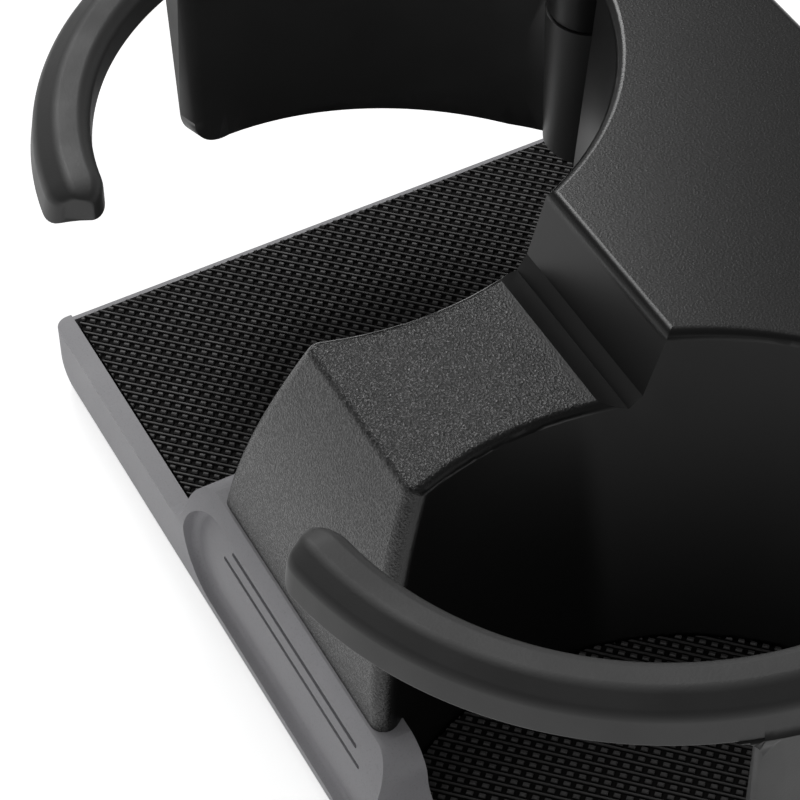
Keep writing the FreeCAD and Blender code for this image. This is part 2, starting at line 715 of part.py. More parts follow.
def make_grooves():
    """Three fine grooves of staggered length in the finger recess."""
    front = bowed_face("groove_front", "recess_depth + groove_depth")
    grooves = []
    for index in (-1, 0, 1):
        middle = "mat_top + groove_height - %d * groove_spacing" % index
        grooves.append(extrude("groove_%d" % (index + 2), "XZ", slot_points(
            "(groove_half_length + %d * groove_step)" % index,
            "%s - groove_width / 2" % middle, "%s + groove_width / 2" % middle),
            "0", "2 * rail_foot"))
    return common("grooves", front, join("groove_bars", grooves))


def drill(body, name, x, y):
    """Drill a screw hole through the tray floor."""
    hole = sketch_on(body, name + "Plan", "XY", "%s - 1" % FLOOR_BOTTOM)
    circle(hole, x, y, "screw_radius + screw_play")
    pocket(body, hole, name, "floor_thick + 1.5", reverse=True)


def striker_screw_y():
    return "(striker_back - striker_length / 2)"


def make_mat():
    """Right rubber mat, with its round edge against the cup wall."""
    body = new_body("MatBody")
    plan = sketch_on(body, "MatPlan", "XY", FLOOR_TOP)
    rectangle(plan, "core_half_width + mat_gap", "0 - mat_front", "mat_edge", "mat_back")
    pad(body, plan, "mat_thick", "MatSheet")
    disc = sketch_on(body, "MatDisc", "XY", FLOOR_TOP)
    circle(disc, CUP_X, "0", "cup_floor_radius - mat_thick * %s - mat_gap" % CUP_SLOPE)
    pad(body, disc, "mat_thick", "MatRound")
    trim = sketch_on(body, "MatTrim", "XY", FLOOR_TOP)
    outline(trim, [
        ("0", "0 - 2 * cup_rim_radius"),
        ("3 * cup_rim_radius", "0 - 2 * cup_rim_radius"),
        ("3 * cup_rim_radius", "2 * cup_rim_radius"),
        ("mat_edge", "2 * cup_rim_radius"),
        ("mat_edge", "0 - mat_front"),
        ("grip_half_foot + mat_gap", "0 - mat_front"),
        ("grip_half_foot + mat_gap", "mat_gap - ledge_front - face_gap"),
        ("0", "mat_gap - ledge_front - face_gap"),
    ])
    pocket(body, trim, "MatTrimmed", "2 * mat_thick", reverse=True)
    round_body(body, lambda edge, middle: (
        near(middle.x, "mat_edge") and edge.BoundBox.ZLength > 1), "1.5", "MatCorners")
    return finish(body, "right_mat")


def make_wing():
    """Right wing: C-shaped arm, curved skirt and hinge barrel.

    It is drawn swung out, about the cup axis, and then turned in about its hinge.
    """
    body = new_body("WingBody")
    outer = ARM_OUTER
    section = sketch_on(body, "ArmSection", "XZ", turn="arm_start")
    outline(section, [
        ("arm_radius + 0.5", ARM_BOTTOM),
        (outer, ARM_BOTTOM),
        (outer, "%s - arm_bevel - 0.5" % ARM_TOP, "3"),
        ("%s - 0.6" % outer, "%s - arm_bevel + 0.5" % ARM_TOP),
        ("%s - arm_bevel - 0.3" % outer, "%s - 0.3" % ARM_TOP, "2"),
        ("%s - arm_bevel - 1.3" % outer, ARM_TOP),
        ("arm_radius + arm_round", ARM_TOP, "arm_round * 1.0001"),
        ("arm_radius", "%s - arm_round" % ARM_TOP),
        ("arm_radius", "%s + 0.8" % ARM_BOTTOM, "1"),
    ])
    revolve(body, section, "Arm", "arm_end - arm_start")
    tip = sketch_on(body, "ArmTipPlan", "XY", "%s - 1" % ARM_BOTTOM, turn="arm_start")
    outline(tip, [
        ("arm_radius - 3", "0 - 3"),
        (outer + " + 3", "0 - 3"),
        (outer + " + 3", "tip_outer"),
        (outer, "tip_outer", "0 - tip_outer * 1.0001"),
        (outer + " - tip_outer", "0"),
        ("arm_radius + tip_inner", "0", "0 - tip_inner * 1.0001"),
        ("arm_radius", "tip_inner"),
        ("arm_radius - 3", "tip_inner"),
    ])
    pocket(body, tip, "ArmTip", "2 * arm_height", reverse=True)
    skirt = sketch_on(body, "SkirtSection", "XZ", turn="skirt_start")
    outline(skirt, [
        (outer + " - skirt_thick - skirt_draft", "%s - 3" % BARREL_BOTTOM),
        (outer + " - skirt_draft", "%s - 3" % BARREL_BOTTOM),
        (outer, "%s + 0.6" % ARM_BOTTOM),
        (outer + " - skirt_thick", "%s + 0.6" % ARM_BOTTOM),
    ])
    barrel_angle = "(90 - atan(%s / pivot_y) / 1deg)" % BARREL_DX
    revolve(body, skirt, "Skirt", "%s - skirt_start" % barrel_angle)
    under = sketch_on(body, "DeckRoomPlan", "XY", "mat_top + skirt_top", turn="arm_end")
    rectangle(under, "0", "0", "2 * arm_radius", "2 * arm_radius")
    pocket(body, under, "DeckRoom", "arm_top", reverse=True)
    plan = sketch_on(body, "BarrelPlan", "XY", "%s - 6" % BARREL_BOTTOM)
    circle(plan, BARREL_DX, "pivot_y", "barrel_radius")
    pad(body, plan, "%s - %s + 6" % (BARREL_TOP, BARREL_BOTTOM), "Barrel")
    clear = sketch_on(body, "BossRoomPlan", "XY", BARREL_TOP)
    circle(clear, BARREL_DX, "pivot_y", "barrel_radius + 0.6")
    pocket(body, clear, "BossRoom", "arm_top", reverse=True)
    finger = sketch_on(body, "FingerPlan", "XY", "%s - finger_height" % BARREL_TOP)
    left = "%s - finger_half_width" % BARREL_DX
    right = "%s + finger_half_width" % BARREL_DX
    tip = "pivot_y + finger_length - finger_half_width"
    outline(finger, [(left, "pivot_y"), (right, "pivot_y"),
                     (right, tip, "finger_half_width * 1.0001"), (left, tip)])
    pad(body, finger, "finger_height", "Finger")
    slope = sketch_on(body, "LowerEdge", "YZ", turn="swing")
    outline(slope, [
        ("0 - 4 * arm_radius", "0 - mat_top"),
        ("4 * arm_radius", "0 - mat_top"),
        ("4 * arm_radius", BARREL_BOTTOM),
        ("pivot_y * cos(swing * 1deg) - barrel_radius", BARREL_BOTTOM),
        ("skirt_level - %s * sin((swing - skirt_start) * 1deg)" % outer,
         "mat_top + skirt_front_low"),
        ("0 - 4 * arm_radius", "mat_top + skirt_front_low"),
    ])
    pocket(body, slope, "LowerEdgeCut", "8 * arm_radius", middle=True)
    bore = sketch_on(body, "BorePlan", "XY", "0")
    circle(bore, BARREL_DX, "pivot_y", "pin_radius + pin_play")
    pocket(body, bore, "Bore", "mat_top + arm_top", reverse=True)
    well = sketch_on(body, "SpringWellPlan", "XY", SPRING_BOTTOM)
    circle(well, BARREL_DX, "pivot_y", "spring_radius + spring_wire + spring_room")
    pocket(body, well, "SpringWell", "arm_top", reverse=True)
    round_body(body, skirt_corner, "skirt_corner", "SkirtCorner")
    round_body(body, skirt_neck, "skirt_neck", "SkirtNeck")
    bind(body, "Placement.Rotation.Angle", "0 - swing")
    bind(body, "Placement.Base.x", REST_X)
    bind(body, "Placement.Base.y", REST_Y)
    body.Placement.Rotation.Axis = FreeCAD.Vector(0, 0, 1)
    return finish(body, "right_wing")


def skirt_corner(edge, middle):
    """Pick the lower edge of the skirt's front end face."""
    angle = math.degrees(math.atan2(middle.y, middle.x))
    low = middle.z < number("mat_top + skirt_front_low + 1.5")
    return low and abs(angle - number("skirt_start")) < 0.3 and edge.BoundBox.ZLength < 1


def skirt_neck(edge, middle):
    """Pick the edge where the skirt's front end face meets the underside of the arm."""
    angle = math.degrees(math.atan2(middle.y, middle.x))
    return near(middle.z, ARM_BOTTOM, 0.02) and abs(angle - number("skirt_start")) < 0.3 and (
        edge.Length > 1)


def make_pin():
    """Right hinge pin, pressed into the boss, with a groove for its clip."""
    body = new_body("PinBody")
    low = "(%s - pin_tail)" % BARREL_BOTTOM
    groove_top = "(%s - face_gap)" % BARREL_BOTTOM
    groove_low = "(%s - clip_thick)" % groove_top
    section = sketch_on(body, "PinSection", "XZ")
    outline(section, [
        ("0", low),
        ("pin_radius - 0.4", low),
        ("pin_radius", "%s + 0.4" % low),
        ("pin_radius", groove_low),
        ("pin_radius - clip_groove", groove_low),
        ("pin_radius - clip_groove", groove_top),
        ("pin_radius", groove_top),
        ("pin_radius", "mat_top + boss_top - 1.4"),
        ("pin_radius - 0.4", "mat_top + boss_top - 1"),
        ("0", "mat_top + boss_top - 1"),
    ])
    revolve(body, section, "Pin")
    stand_at_hinge(body)
    return finish(body, "right_pivot_pin")


def make_clip():
    """Right retaining clip, an open ring in the pin's groove."""
    body = new_body("ClipBody")
    plan = sketch_on(body, "ClipPlan", "XY", "%s - face_gap - clip_thick" % BARREL_BOTTOM)
    circle(plan, "0", "0", "clip_radius")
    circle(plan, "0", "0", "pin_radius - clip_groove")
    pad(body, plan, "clip_thick", "ClipRing")
    gap = sketch_on(body, "ClipGap", "XY", "%s - clip_thick - 1" % BARREL_BOTTOM)
    rectangle(gap, "0", "0 - pin_radius * 0.6", "2 * clip_radius", "pin_radius * 0.6")
    pocket(body, gap, "ClipOpening", "3 * clip_thick", reverse=True)
    stand_at_hinge(body)
    return finish(body, "right_pin_clip")


def stand_at_hinge(thing):
    bind(thing, "Placement.Base.x", "pivot_x")
    bind(thing, "Placement.Base.y", "pivot_y")


def make_spring():
    """Right torsion spring round the pin, close-wound, with a groove after each turn."""
    body = new_body("SpringBody")
    section = sketch_on(body, "SpringSection", "XZ")
    turns = int(round(number("spring_turns")))
    points = [("spring_radius - spring_wire", SPRING_BOTTOM)]
    for index in range(turns):
        low = "%s + %d * spring_pitch" % (SPRING_BOTTOM, index)
        points.append(("spring_radius + spring_wire", low))
        points.append(("spring_radius + spring_wire", low + " + spring_pitch * 0.7"))
        points.append(("spring_radius", low + " + spring_pitch * 0.85"))
    points[-1] = ("spring_radius + spring_wire", points[-1][1])
    points.append(("spring_radius - spring_wire", points[-1][1]))
    outline(section, points)
    revolve(body, section, "Spring")
    stand_at_hinge(body)
    return finish(body, "right_wing_spring")


def make_buffer():
    """Right rubber buffer that the stop finger rests on."""
    x, y = buffer_place()
    body = new_body("BufferBody")
    section = sketch_on(body, "BufferSection", "XZ")
    low = "(%s - finger_height)" % BARREL_TOP
    high = DECK_BOTTOM
    outline(section, [
        ("buffer_stud", low),
        ("buffer_radius - 0.4", low),
        ("buffer_radius", "%s + 0.4" % low),
        ("buffer_radius", "%s - 0.4" % high),
        ("buffer_radius - 0.4", high),
        ("buffer_stud", high),
    ])
    revolve(body, section, "Buffer")
    bind(body, "Placement.Base.x", x)
    bind(body, "Placement.Base.y", y)
    return finish(body, "right_stop_buffer")


def make_runner():
    """Right slide runner with the slot that the console's rail runs in."""
    body = new_body("RunnerBody")
    section = sketch_on(body, "RunnerSection", "XZ")
    inner = "runner_x - runner_half_width"
    outer = "runner_x + runner_half_width"
    middle = "%s / 2" % FLOOR_BOTTOM
    outline(section, [
        (inner, "0"),
        (outer, "0"),
        (outer, "%s - runner_slot" % middle),
        ("%s - runner_slot_depth" % outer, "%s - runner_slot" % middle),
        ("%s - runner_slot_depth" % outer, "%s + runner_slot" % middle),
        (outer, "%s + runner_slot" % middle),
        (outer, FLOOR_BOTTOM),
        (inner, FLOOR_BOTTOM),
    ])
    feature = pad(body, section, "tray_back + runner_front", "Runner")
    feature.Reversed = True
    bind(section, "AttachmentOffset.Base.z", "runner_front")
    doc.recompute()
    for index in range(3):
        y = "runner_screw_first + %d * runner_screw_step" % index
        hole = sketch_on(body, "RunnerHolePlan%d" % (index + 1), "XY", "0 - 1")
        circle(hole, "runner_screw_x", y, "screw_radius + screw_play")
        pocket(body, hole, "RunnerHole%d" % (index + 1), "mat_top", reverse=True)
        seat = sketch_on(body, "RunnerSeatPlan%d" % (index + 1), "XY", "0 - 1")
        circle(seat, "runner_screw_x", y, "screw_head_radius + screw_play")
        pocket(body, seat, "RunnerSeat%d" % (index + 1), "screw_head_height + 1.2", reverse=True)
    round_body(body, lambda edge, middle: (
        near(middle.z, "0") and near(middle.y, "0 - runner_front")), "1.2", "RunnerNose")
    return finish(body, "right_runner")


def make_screws(name, places, head_bottom, top):
    """Make a group of equal pan-head screws that point up."""
    screws = []
    for index, (x, y) in enumerate(places, start=1):
        body = new_body("%s_screw_%d" % (name, index))
        section = sketch_on(body, "%s_screw_section_%d" % (name, index), "XZ")
        neck = "(%s + screw_head_height)" % head_bottom
        outline(section, [
            ("0", head_bottom),
            ("screw_head_radius - 0.9", head_bottom, "2.5"),
            ("screw_head_radius", "%s - 0.4" % neck),
            ("screw_head_radius", neck),
            ("screw_radius", neck),
            ("screw_radius", "%s - screw_radius" % top),
            ("0.3", top),
            ("0", top),
        ])
        revolve(body, section, "%s_screw_turned_%d" % (name, index))
        bind(body, "Placement.Base.x", x)
        bind(body, "Placement.Base.y", y)
        screws.append(body)
    group = doc.addObject("Part::Compound", name + "_group")
    group.Links = screws
    return finish(group, name)


def make_striker():
    """Plate under the back of the tray with the pin that the console's latch grips."""
    low = "(%s - striker_thick)" % FLOOR_BOTTOM
    body = new_body("StrikerBody")
    plan = sketch_on(body, "StrikerPlan", "XY", low)
    rectangle(plan, "0 - striker_half_width", "striker_back - striker_length",
              "striker_half_width", "striker_back")
    pad(body, plan, "striker_thick", "StrikerPlate")
    pin = sketch_on(body, "StrikerPinPlan", "XY", "0.8")
    circle(pin, "0", "striker_back - hook_radius - 1", "hook_radius")
    pad(body, pin, "%s - 0.8 + striker_thick / 2" % low, "StrikerPin")
    for side, label in ((-1, "Left"), (1, "Right")):
        hole = sketch_on(body, label + "StrikerScrewPlan", "XY", "0")
        circle(hole, "%d * striker_screw_x" % side, striker_screw_y(), "screw_radius + screw_play")
        pocket(body, hole, label + "StrikerScrewHole", "mat_top", reverse=True)
    round_body(body, lambda edge, middle: (
        near(abs(middle.x), "striker_half_width") and edge.BoundBox.ZLength > 1), "3",
        "StrikerCorners")
    return finish(body, "latch_striker")


def make_all():
    """Build every piece of the cup holder."""
    make_upper_body()
    make_tray()
    right_hand = [make_mat(), make_wing(), make_pin(), make_clip(), make_spring(),
                  make_buffer(), make_runner()]
    doc.recompute()
    for piece in right_hand:
        name = piece.Label.replace("right_", "left_")
        finish(mirror(piece, name), name)
    make_screws("body_screws", column_places(), "%s - screw_head_height" % FLOOR_BOTTOM,
                "%s + screw_depth - 0.6" % FLOOR_TOP)
    runner_places = []
    for side in (-1, 1):
        for index in range(3):
            runner_places.append(("%d * runner_screw_x" % side,
                                  "runner_screw_first + %d * runner_screw_step" % index))
    make_screws("runner_screws", runner_places, "0.2", "%s + runner_screw_depth" % FLOOR_BOTTOM)
    make_striker()
    striker_places = [("%d * striker_screw_x" % side, striker_screw_y()) for side in (-1, 1)]
    make_screws("striker_screws", striker_places,
                "%s - striker_thick - screw_head_height" % FLOOR_BOTTOM,
                "%s + runner_screw_depth" % FLOOR_BOTTOM)
    doc.recompute()


def check_and_write():
    """Stop on any failed object or bad shape, then write each piece to its file."""
    for thing in doc.Objects:
        if "Invalid" in thing.State or "Error" in thing.State:
            raise RuntimeError("failed: %s %s" % (thing.Name, thing.State))
    os.makedirs("parts", exist_ok=True)
    for name, piece in FINISHED.items():
        shape = piece.Shape
        if shape.isNull() or not shape.isValid() or not shape.Solids:
            raise RuntimeError("bad shape: " + name)
        print("%-20s %2d solids %9.1f mm3  %s" % (
            name, len(shape.Solids), shape.Volume, box_words(shape.BoundBox)))
        shape.exportStep("parts/%s.step" % name)


def box_words(box):
    return "x %.1f %.1f  y %.1f %.1f  z %.1f %.1f" % (
        box.XMin, box.XMax, box.YMin, box.YMax, box.ZMin, box.ZMax)


make_all()
check_and_write()
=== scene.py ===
import math

import bpy
from mathutils import Matrix, Vector


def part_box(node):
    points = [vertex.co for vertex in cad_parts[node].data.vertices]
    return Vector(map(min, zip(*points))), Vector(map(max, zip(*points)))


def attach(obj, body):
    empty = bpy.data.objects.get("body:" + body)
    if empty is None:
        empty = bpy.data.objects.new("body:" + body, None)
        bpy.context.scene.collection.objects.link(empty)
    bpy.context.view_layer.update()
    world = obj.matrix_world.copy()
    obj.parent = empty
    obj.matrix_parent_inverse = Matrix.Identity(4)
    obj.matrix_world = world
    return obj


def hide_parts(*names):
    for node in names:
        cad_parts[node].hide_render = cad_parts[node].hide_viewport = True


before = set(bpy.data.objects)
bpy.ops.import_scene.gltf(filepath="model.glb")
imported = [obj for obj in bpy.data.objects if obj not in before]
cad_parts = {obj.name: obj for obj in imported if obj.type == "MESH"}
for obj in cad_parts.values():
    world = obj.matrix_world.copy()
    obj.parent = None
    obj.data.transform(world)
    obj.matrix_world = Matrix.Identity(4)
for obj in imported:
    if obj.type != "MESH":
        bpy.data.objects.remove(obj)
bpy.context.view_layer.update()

bl_info = {
    "name": "Console cup holder",
    "version": (1, 0, 0),
    "blender": (4, 5, 0),
    "location": "3D View > Sidebar > Cup holder",
    "description": "Adds the pieces and finishes of a pull-out console cup holder",
    "category": "Add Mesh",
}

# Lengths below are in millimetres and angles in degrees unless a name says otherwise.
MM = 0.001
# Height of the mats' tops, and how far the cups' axes stand from the middle plane.
MAT_TOP = 9.0
CUP_X = 47.0
# Distance in metres under which two points of a mesh are one, for pieces and for thin wire.
MERGE = 1e-6
FINE_MERGE = 1e-7


# Colours and nodes

def linear(colour, alpha=1.0):
    """Turn an sRGB hex colour into linear RGBA."""
    channels = []
    for start in (1, 3, 5):
        value = int(colour[start:start + 2], 16) / 255
        channels.append(value / 12.92 if value <= 0.04045 else ((value + 0.055) / 1.055) ** 2.4)
    return (*channels, alpha)


def length(value, name, description):
    """Describe a length in millimetres that a user may change."""
    return bpy.props.FloatProperty(name=name, description=description, default=value * MM,
                                   min=0.0, precision=5, unit="LENGTH")


def colour(value, name, description):
    """Describe a colour, given as sRGB hex, that a user may change."""
    return bpy.props.FloatVectorProperty(
        name=name, description=description, default=linear(value)[:3], size=3,
        subtype="COLOR", min=0.0, max=1.0)


class CUPHOLDER_PG_settings(bpy.types.PropertyGroup):
    """Sizes and colours of the cup holder's visual model"""
    row_pitch: length(1.3, "Row pitch", "Distance between two ribs of the mats")
    block_pitch: length(1.35, "Block pitch", "Distance between two blocks along a rib")
    pit_depth: length(0.42, "Pit depth", "Depth of the pits of the mats below their blocks")
    rib_width: length(0.3, "Rib width", "Width of a rib of the mats at its foot")
    row_turn: bpy.props.FloatProperty(
        name="Row turn", description="Angle of the mats' ribs to the tray's front edge",
        default=math.radians(45), subtype="ANGLE")
    tip_length: length(2.9, "Tip length", "Length of the rounding at the end of a wing's arm")
    grain_size: length(0.26, "Grain size", "Size of the body's leather grain")
    grain_depth: length(0.25, "Grain depth", "Depth of the body's leather grain")
    spring_wire: length(0.35, "Spring wire", "Radius of the wire of the wing springs")
    spring_turns: bpy.props.IntProperty(
        name="Spring turns", description="Turns of a wing spring", default=5, min=2)
    body_colour: colour("#1c1c1c", "Body", "Colour of the moulded body")
    wing_colour: colour("#383838", "Wings", "Colour of the swing-out wings")
    tray_colour: colour("#b4b3b7", "Tray", "Colour of the tray")
    rib_colour: colour("#585757", "Mats", "Colour of the ribs and blocks of the mats")
    lamp_level: bpy.props.FloatProperty(
        name="Lamp level", description="Power of the lamps against the level they are set for",
        default=1.0, min=0.0)


def settings():
    """Return the sizes and colours that a user may change."""
    return bpy.context.scene.cupholder


def size(name):
    """Return a length of the settings in millimetres."""
    return getattr(settings(), name) / MM


def shade(name):
    """Return a colour of the settings with its alpha."""
    return (*getattr(settings(), name), 1.0)


def add_node(material, kind, inputs=None, **options):
    """Add a shader node, set it up, and link or set its inputs."""
    node = material.node_tree.nodes.new(kind)
    for name, value in options.items():
        setattr(node, name, value)
    for name, value in (inputs or {}).items():
        socket = node.inputs[name]
        if isinstance(value, bpy.types.NodeSocket):
            material.node_tree.links.new(value, socket)
        else:
            socket.default_value = value
    return node


def new_material(name):
    """Start an empty material and return it with the coordinates that its patterns use."""
    material = bpy.data.materials.new(name)
    material.use_nodes = True
    material.node_tree.nodes.clear()
    place = add_node(material, "ShaderNodeTexCoord").outputs["Object"]
    return material, place


def set_ramp(ramp, stops):
    """Set the stops of a colour ramp from (position, linear colour) pairs."""
    elements = ramp.color_ramp.elements
    while len(elements) > 1:
        elements.remove(elements[-1])
    elements[0].position, elements[0].color = stops[0]
    for position, tone in stops[1:]:
        elements.new(position).color = tone


def calc(material, operation, *values):
    """Add a maths node on one to three values and return its output."""
    return add_node(material, "ShaderNodeMath", dict(enumerate(values)),
                    operation=operation).outputs["Value"]


def between(material, value, low, high, start=0.0, end=1.0):
    """Ease from one value to another while an input runs from low to high."""
    return add_node(material, "ShaderNodeMapRange", {
        "Value": value, "From Min": low, "From Max": high, "To Min": start, "To Max": end},
        interpolation_type="SMOOTHSTEP").outputs["Result"]


def moulded_plastic(name, base, grain, depth, roughness, fleck=None):
    """Moulded plastic with a spark-eroded grain of a given size.

    The grain breaks the sheen into fine points, and slow mottling keeps large faces alive.
    """
    material, place = new_material(name)
    pebbles = add_node(material, "ShaderNodeTexVoronoi", {
        "Vector": place, "Scale": 1 / (grain * MM), "Randomness": 1.0, "Smoothness": 0.6},
        feature="SMOOTH_F1")
    fine = add_node(material, "ShaderNodeTexNoise", {
        "Vector": place, "Scale": 1.6 / (grain * MM), "Detail": 3.0, "Roughness": 0.6})
    mottle = add_node(material, "ShaderNodeTexNoise", {
        "Vector": place, "Scale": 1 / (9 * MM), "Detail": 4.0, "Roughness": 0.65})
    tint = add_node(material, "ShaderNodeValToRGB", {"Fac": mottle.outputs["Fac"]})
    set_ramp(tint, [(0.3, (*(channel * 0.93 for channel in base[:3]), 1.0)),
                    (0.72, (*(channel * 1.07 for channel in base[:3]), 1.0))])
    skin = tint.outputs["Color"]
    if fleck:
        specks = add_node(material, "ShaderNodeValToRGB", {"Fac": fine.outputs["Fac"]})
        set_ramp(specks, [(0.55, (0, 0, 0, 1)), (0.75, (1, 1, 1, 1))])
        skin = add_node(material, "ShaderNodeMix", {
            "Factor": specks.outputs["Color"], "A": skin, "B": linear(fleck)},
            data_type="RGBA").outputs["Result"]
    relief = calc(material, "ADD", pebbles.outputs["Distance"], fine.outputs["Fac"])
    bump = add_node(material, "ShaderNodeBump", {
        "Height": relief, "Strength": 1.0, "Distance": depth * MM})
    worn = add_node(material, "ShaderNodeMapRange", {
        "Value": mottle.outputs["Fac"], "From Min": 0.3, "From Max": 0.7,
        "To Min": roughness - 0.05, "To Max": roughness + 0.06})
    shader = add_node(material, "ShaderNodeBsdfPrincipled", {
        "Base Color": skin, "Roughness": worn.outputs["Result"], "IOR": 1.5,
        "Normal": bump.outputs["Normal"]})
    add_node(material, "ShaderNodeOutputMaterial", {"Surface": shader.outputs["BSDF"]})
    return material


# Where the body's grain changes: radius of the cup wall at the mats, how much it widens with
# each millimetre of height, top of the deck and front edge of the platform.
CUP_FOOT_RADIUS = 34.0
CUP_DRAFT = 0.0984
DECK_TOP = 51.7
PLATFORM_EDGE = -13.8
# Bands in which one share of grain eases into the next: outwards from the cup wall, backwards
# over the foot of the step, below the top of the deck and in front of the platform's edge.
# The wall band and the step band also ease in the painted shade of the cup walls and of the step.
WALL_BAND = (0.1, 0.9)
STEP_BAND = (5.5, 9.5)
DECK_BAND = (1.3, 0.3)
EDGE_BAND = 1.5
# Shares of the full grain on the platform and the deck, and on the slanted front against the
# platform.
PLATFORM_GRAIN = 0.6
DECK_GRAIN = 0.06
FRONT_GRAIN = 0.85


def grain_amount(material, place):
    """Return the share of grain at a place, and masks for outside the cups and for the step.

    The cup walls, the step and the recesses behind it have no grain, the deck has hardly any,
    the platform is coarse, and the slanted front is a little finer than the platform.
    """
    # The masks for outside the cups and for the step also mark where painted shade darkens the
    # cup walls and the step.
    spot = add_node(material, "ShaderNodeVectorMath", {0: place, 3: 1 / MM},
                    operation="SCALE").outputs["Vector"]
    axes = add_node(material, "ShaderNodeSeparateXYZ", {"Vector": spot})
    across = calc(material, "SUBTRACT", calc(material, "ABSOLUTE", axes.outputs["X"]), CUP_X)
    square = calc(material, "ADD", calc(material, "MULTIPLY", across, across),
                  calc(material, "MULTIPLY", axes.outputs["Y"], axes.outputs["Y"]))
    wall = calc(material, "MULTIPLY_ADD", axes.outputs["Z"], CUP_DRAFT,
                CUP_FOOT_RADIUS - MAT_TOP * CUP_DRAFT)
    beyond = calc(material, "SUBTRACT", calc(material, "SQRT", square), wall)
    outside = between(material, beyond, *WALL_BAND)
    behind = between(material, axes.outputs["Y"], *STEP_BAND)
    on_deck = between(
        material, axes.outputs["Z"], DECK_TOP - DECK_BAND[0], DECK_TOP - DECK_BAND[1])
    smooth = calc(material, "MULTIPLY", behind, calc(material, "SUBTRACT", 1.0, on_deck))
    coarse = between(material, on_deck, 0.0, 1.0, PLATFORM_GRAIN, DECK_GRAIN)
    front = between(material, axes.outputs["Y"], PLATFORM_EDGE - EDGE_BAND, PLATFORM_EDGE,
                    FRONT_GRAIN, 1.0)
    amount = calc(material, "MULTIPLY", outside, calc(material, "SUBTRACT", 1.0, smooth))
    amount = calc(material, "MULTIPLY", amount, coarse)
    return calc(material, "MULTIPLY", amount, front), outside, smooth


def grained_body(name, base, roughness):
    """Moulded ABS with a leather grain on its outer faces and smooth cup walls darkened with
    painted shade.

    Painted shade darkens the grain's pits and painted highlight lightens its tops, and the pits
    are also duller, so the grain shows under soft light.
    """
    def tone(share):
        return (*(min(1.0, channel * share) for channel in base[:3]), 1.0)

    material, place = new_material(name)
    amount, outside, smooth = grain_amount(material, place)
    grain = add_node(material, "ShaderNodeTexNoise", {
        "Vector": place, "Scale": 1 / settings().grain_size, "Detail": 2.5, "Roughness": 0.55,
        "Distortion": 0.4}).outputs["Fac"]
    mottle = add_node(material, "ShaderNodeTexNoise", {
        "Vector": place, "Scale": 1 / (11 * MM), "Detail": 3.0, "Roughness": 0.6}).outputs["Fac"]
    tint = add_node(material, "ShaderNodeValToRGB", {"Fac": mottle})
    set_ramp(tint, [(0.3, tone(0.88)), (0.72, tone(1.14))])
    # Painted shade in the grain's pits and painted highlight on its tops.
    painted_grain_light = add_node(material, "ShaderNodeValToRGB", {"Fac": grain})
    set_ramp(painted_grain_light, [(0.42, tone(0.2)), (0.6, tone(6.0))])
    # From a little over half of the full grain on, the painted shade in its pits and the painted
    # highlight on its tops replace the mottling.
    mixing = calc(material, "MINIMUM", calc(material, "MULTIPLY", amount, 1.8), 1.0)
    mixed = add_node(material, "ShaderNodeMix", {
        "Factor": mixing, "A": tint.outputs["Color"], "B": painted_grain_light.outputs["Color"]},
        data_type="RGBA").outputs["Result"]
    # Painted shade: the step and the recesses behind it are darker.
    mixed = add_node(material, "ShaderNodeMix", {
        "Factor": smooth, "A": mixed, "B": tone(0.3)},
        data_type="RGBA").outputs["Result"]
    # Painted shade: the cup walls are darker than the faces outside the cups.
    mixed = add_node(material, "ShaderNodeMix", {
        "Factor": outside, "A": tone(0.5), "B": mixed},
        data_type="RGBA").outputs["Result"]
    bump = add_node(material, "ShaderNodeBump", {
        "Height": calc(material, "MULTIPLY", grain, amount), "Strength": 1.0,
        "Distance": settings().grain_depth})
    dull = between(material, grain, 0.42, 0.58, 0.08, -0.08)
    rough = calc(material, "MULTIPLY_ADD", dull, mixing, roughness)
    rough = calc(material, "MULTIPLY_ADD", smooth, 0.16, rough)
    shader = add_node(material, "ShaderNodeBsdfPrincipled", {
        "Base Color": mixed, "Roughness": rough, "IOR": 1.5, "Normal": bump.outputs["Normal"]})
    add_node(material, "ShaderNodeOutputMaterial", {"Surface": shader.outputs["BSDF"]})
    return material


# Depths below the tops of the mats between which the black painted shade of the pits turns into
# satin ribs.
PIT_SHADE_BAND = (0.34, 0.14)


def ribbed_rubber(name, pit, rib, roughness):
    """Thermoplastic rubber: satin on the ribs and blocks, black and dull in the pits with painted
    shade.
    """
    material, place = new_material(name)
    height = add_node(material, "ShaderNodeSeparateXYZ", {"Vector": place}).outputs["Z"]
    raised = between(
        material, height, (MAT_TOP - PIT_SHADE_BAND[0]) * MM, (MAT_TOP - PIT_SHADE_BAND[1]) * MM)
    wear = add_node(material, "ShaderNodeTexNoise", {
        "Vector": place, "Scale": 1 / (3 * MM), "Detail": 4.0, "Roughness": 0.7}).outputs["Fac"]
    top = add_node(material, "ShaderNodeBsdfPrincipled", {
        "Base Color": rib, "Roughness": between(
            material, wear, 0.3, 0.7, roughness - 0.06, roughness + 0.1)})
    # Painted shade: the pits are black and give little sheen.
    shaded_pit = add_node(material, "ShaderNodeBsdfPrincipled", {
        "Base Color": pit, "Roughness": 0.85, "Specular IOR Level": 0.12})
    both = add_node(material, "ShaderNodeMixShader", {
        0: raised, 1: shaded_pit.outputs[0], 2: top.outputs[0]})
    add_node(material, "ShaderNodeOutputMaterial", {"Surface": both.outputs[0]})
    return material


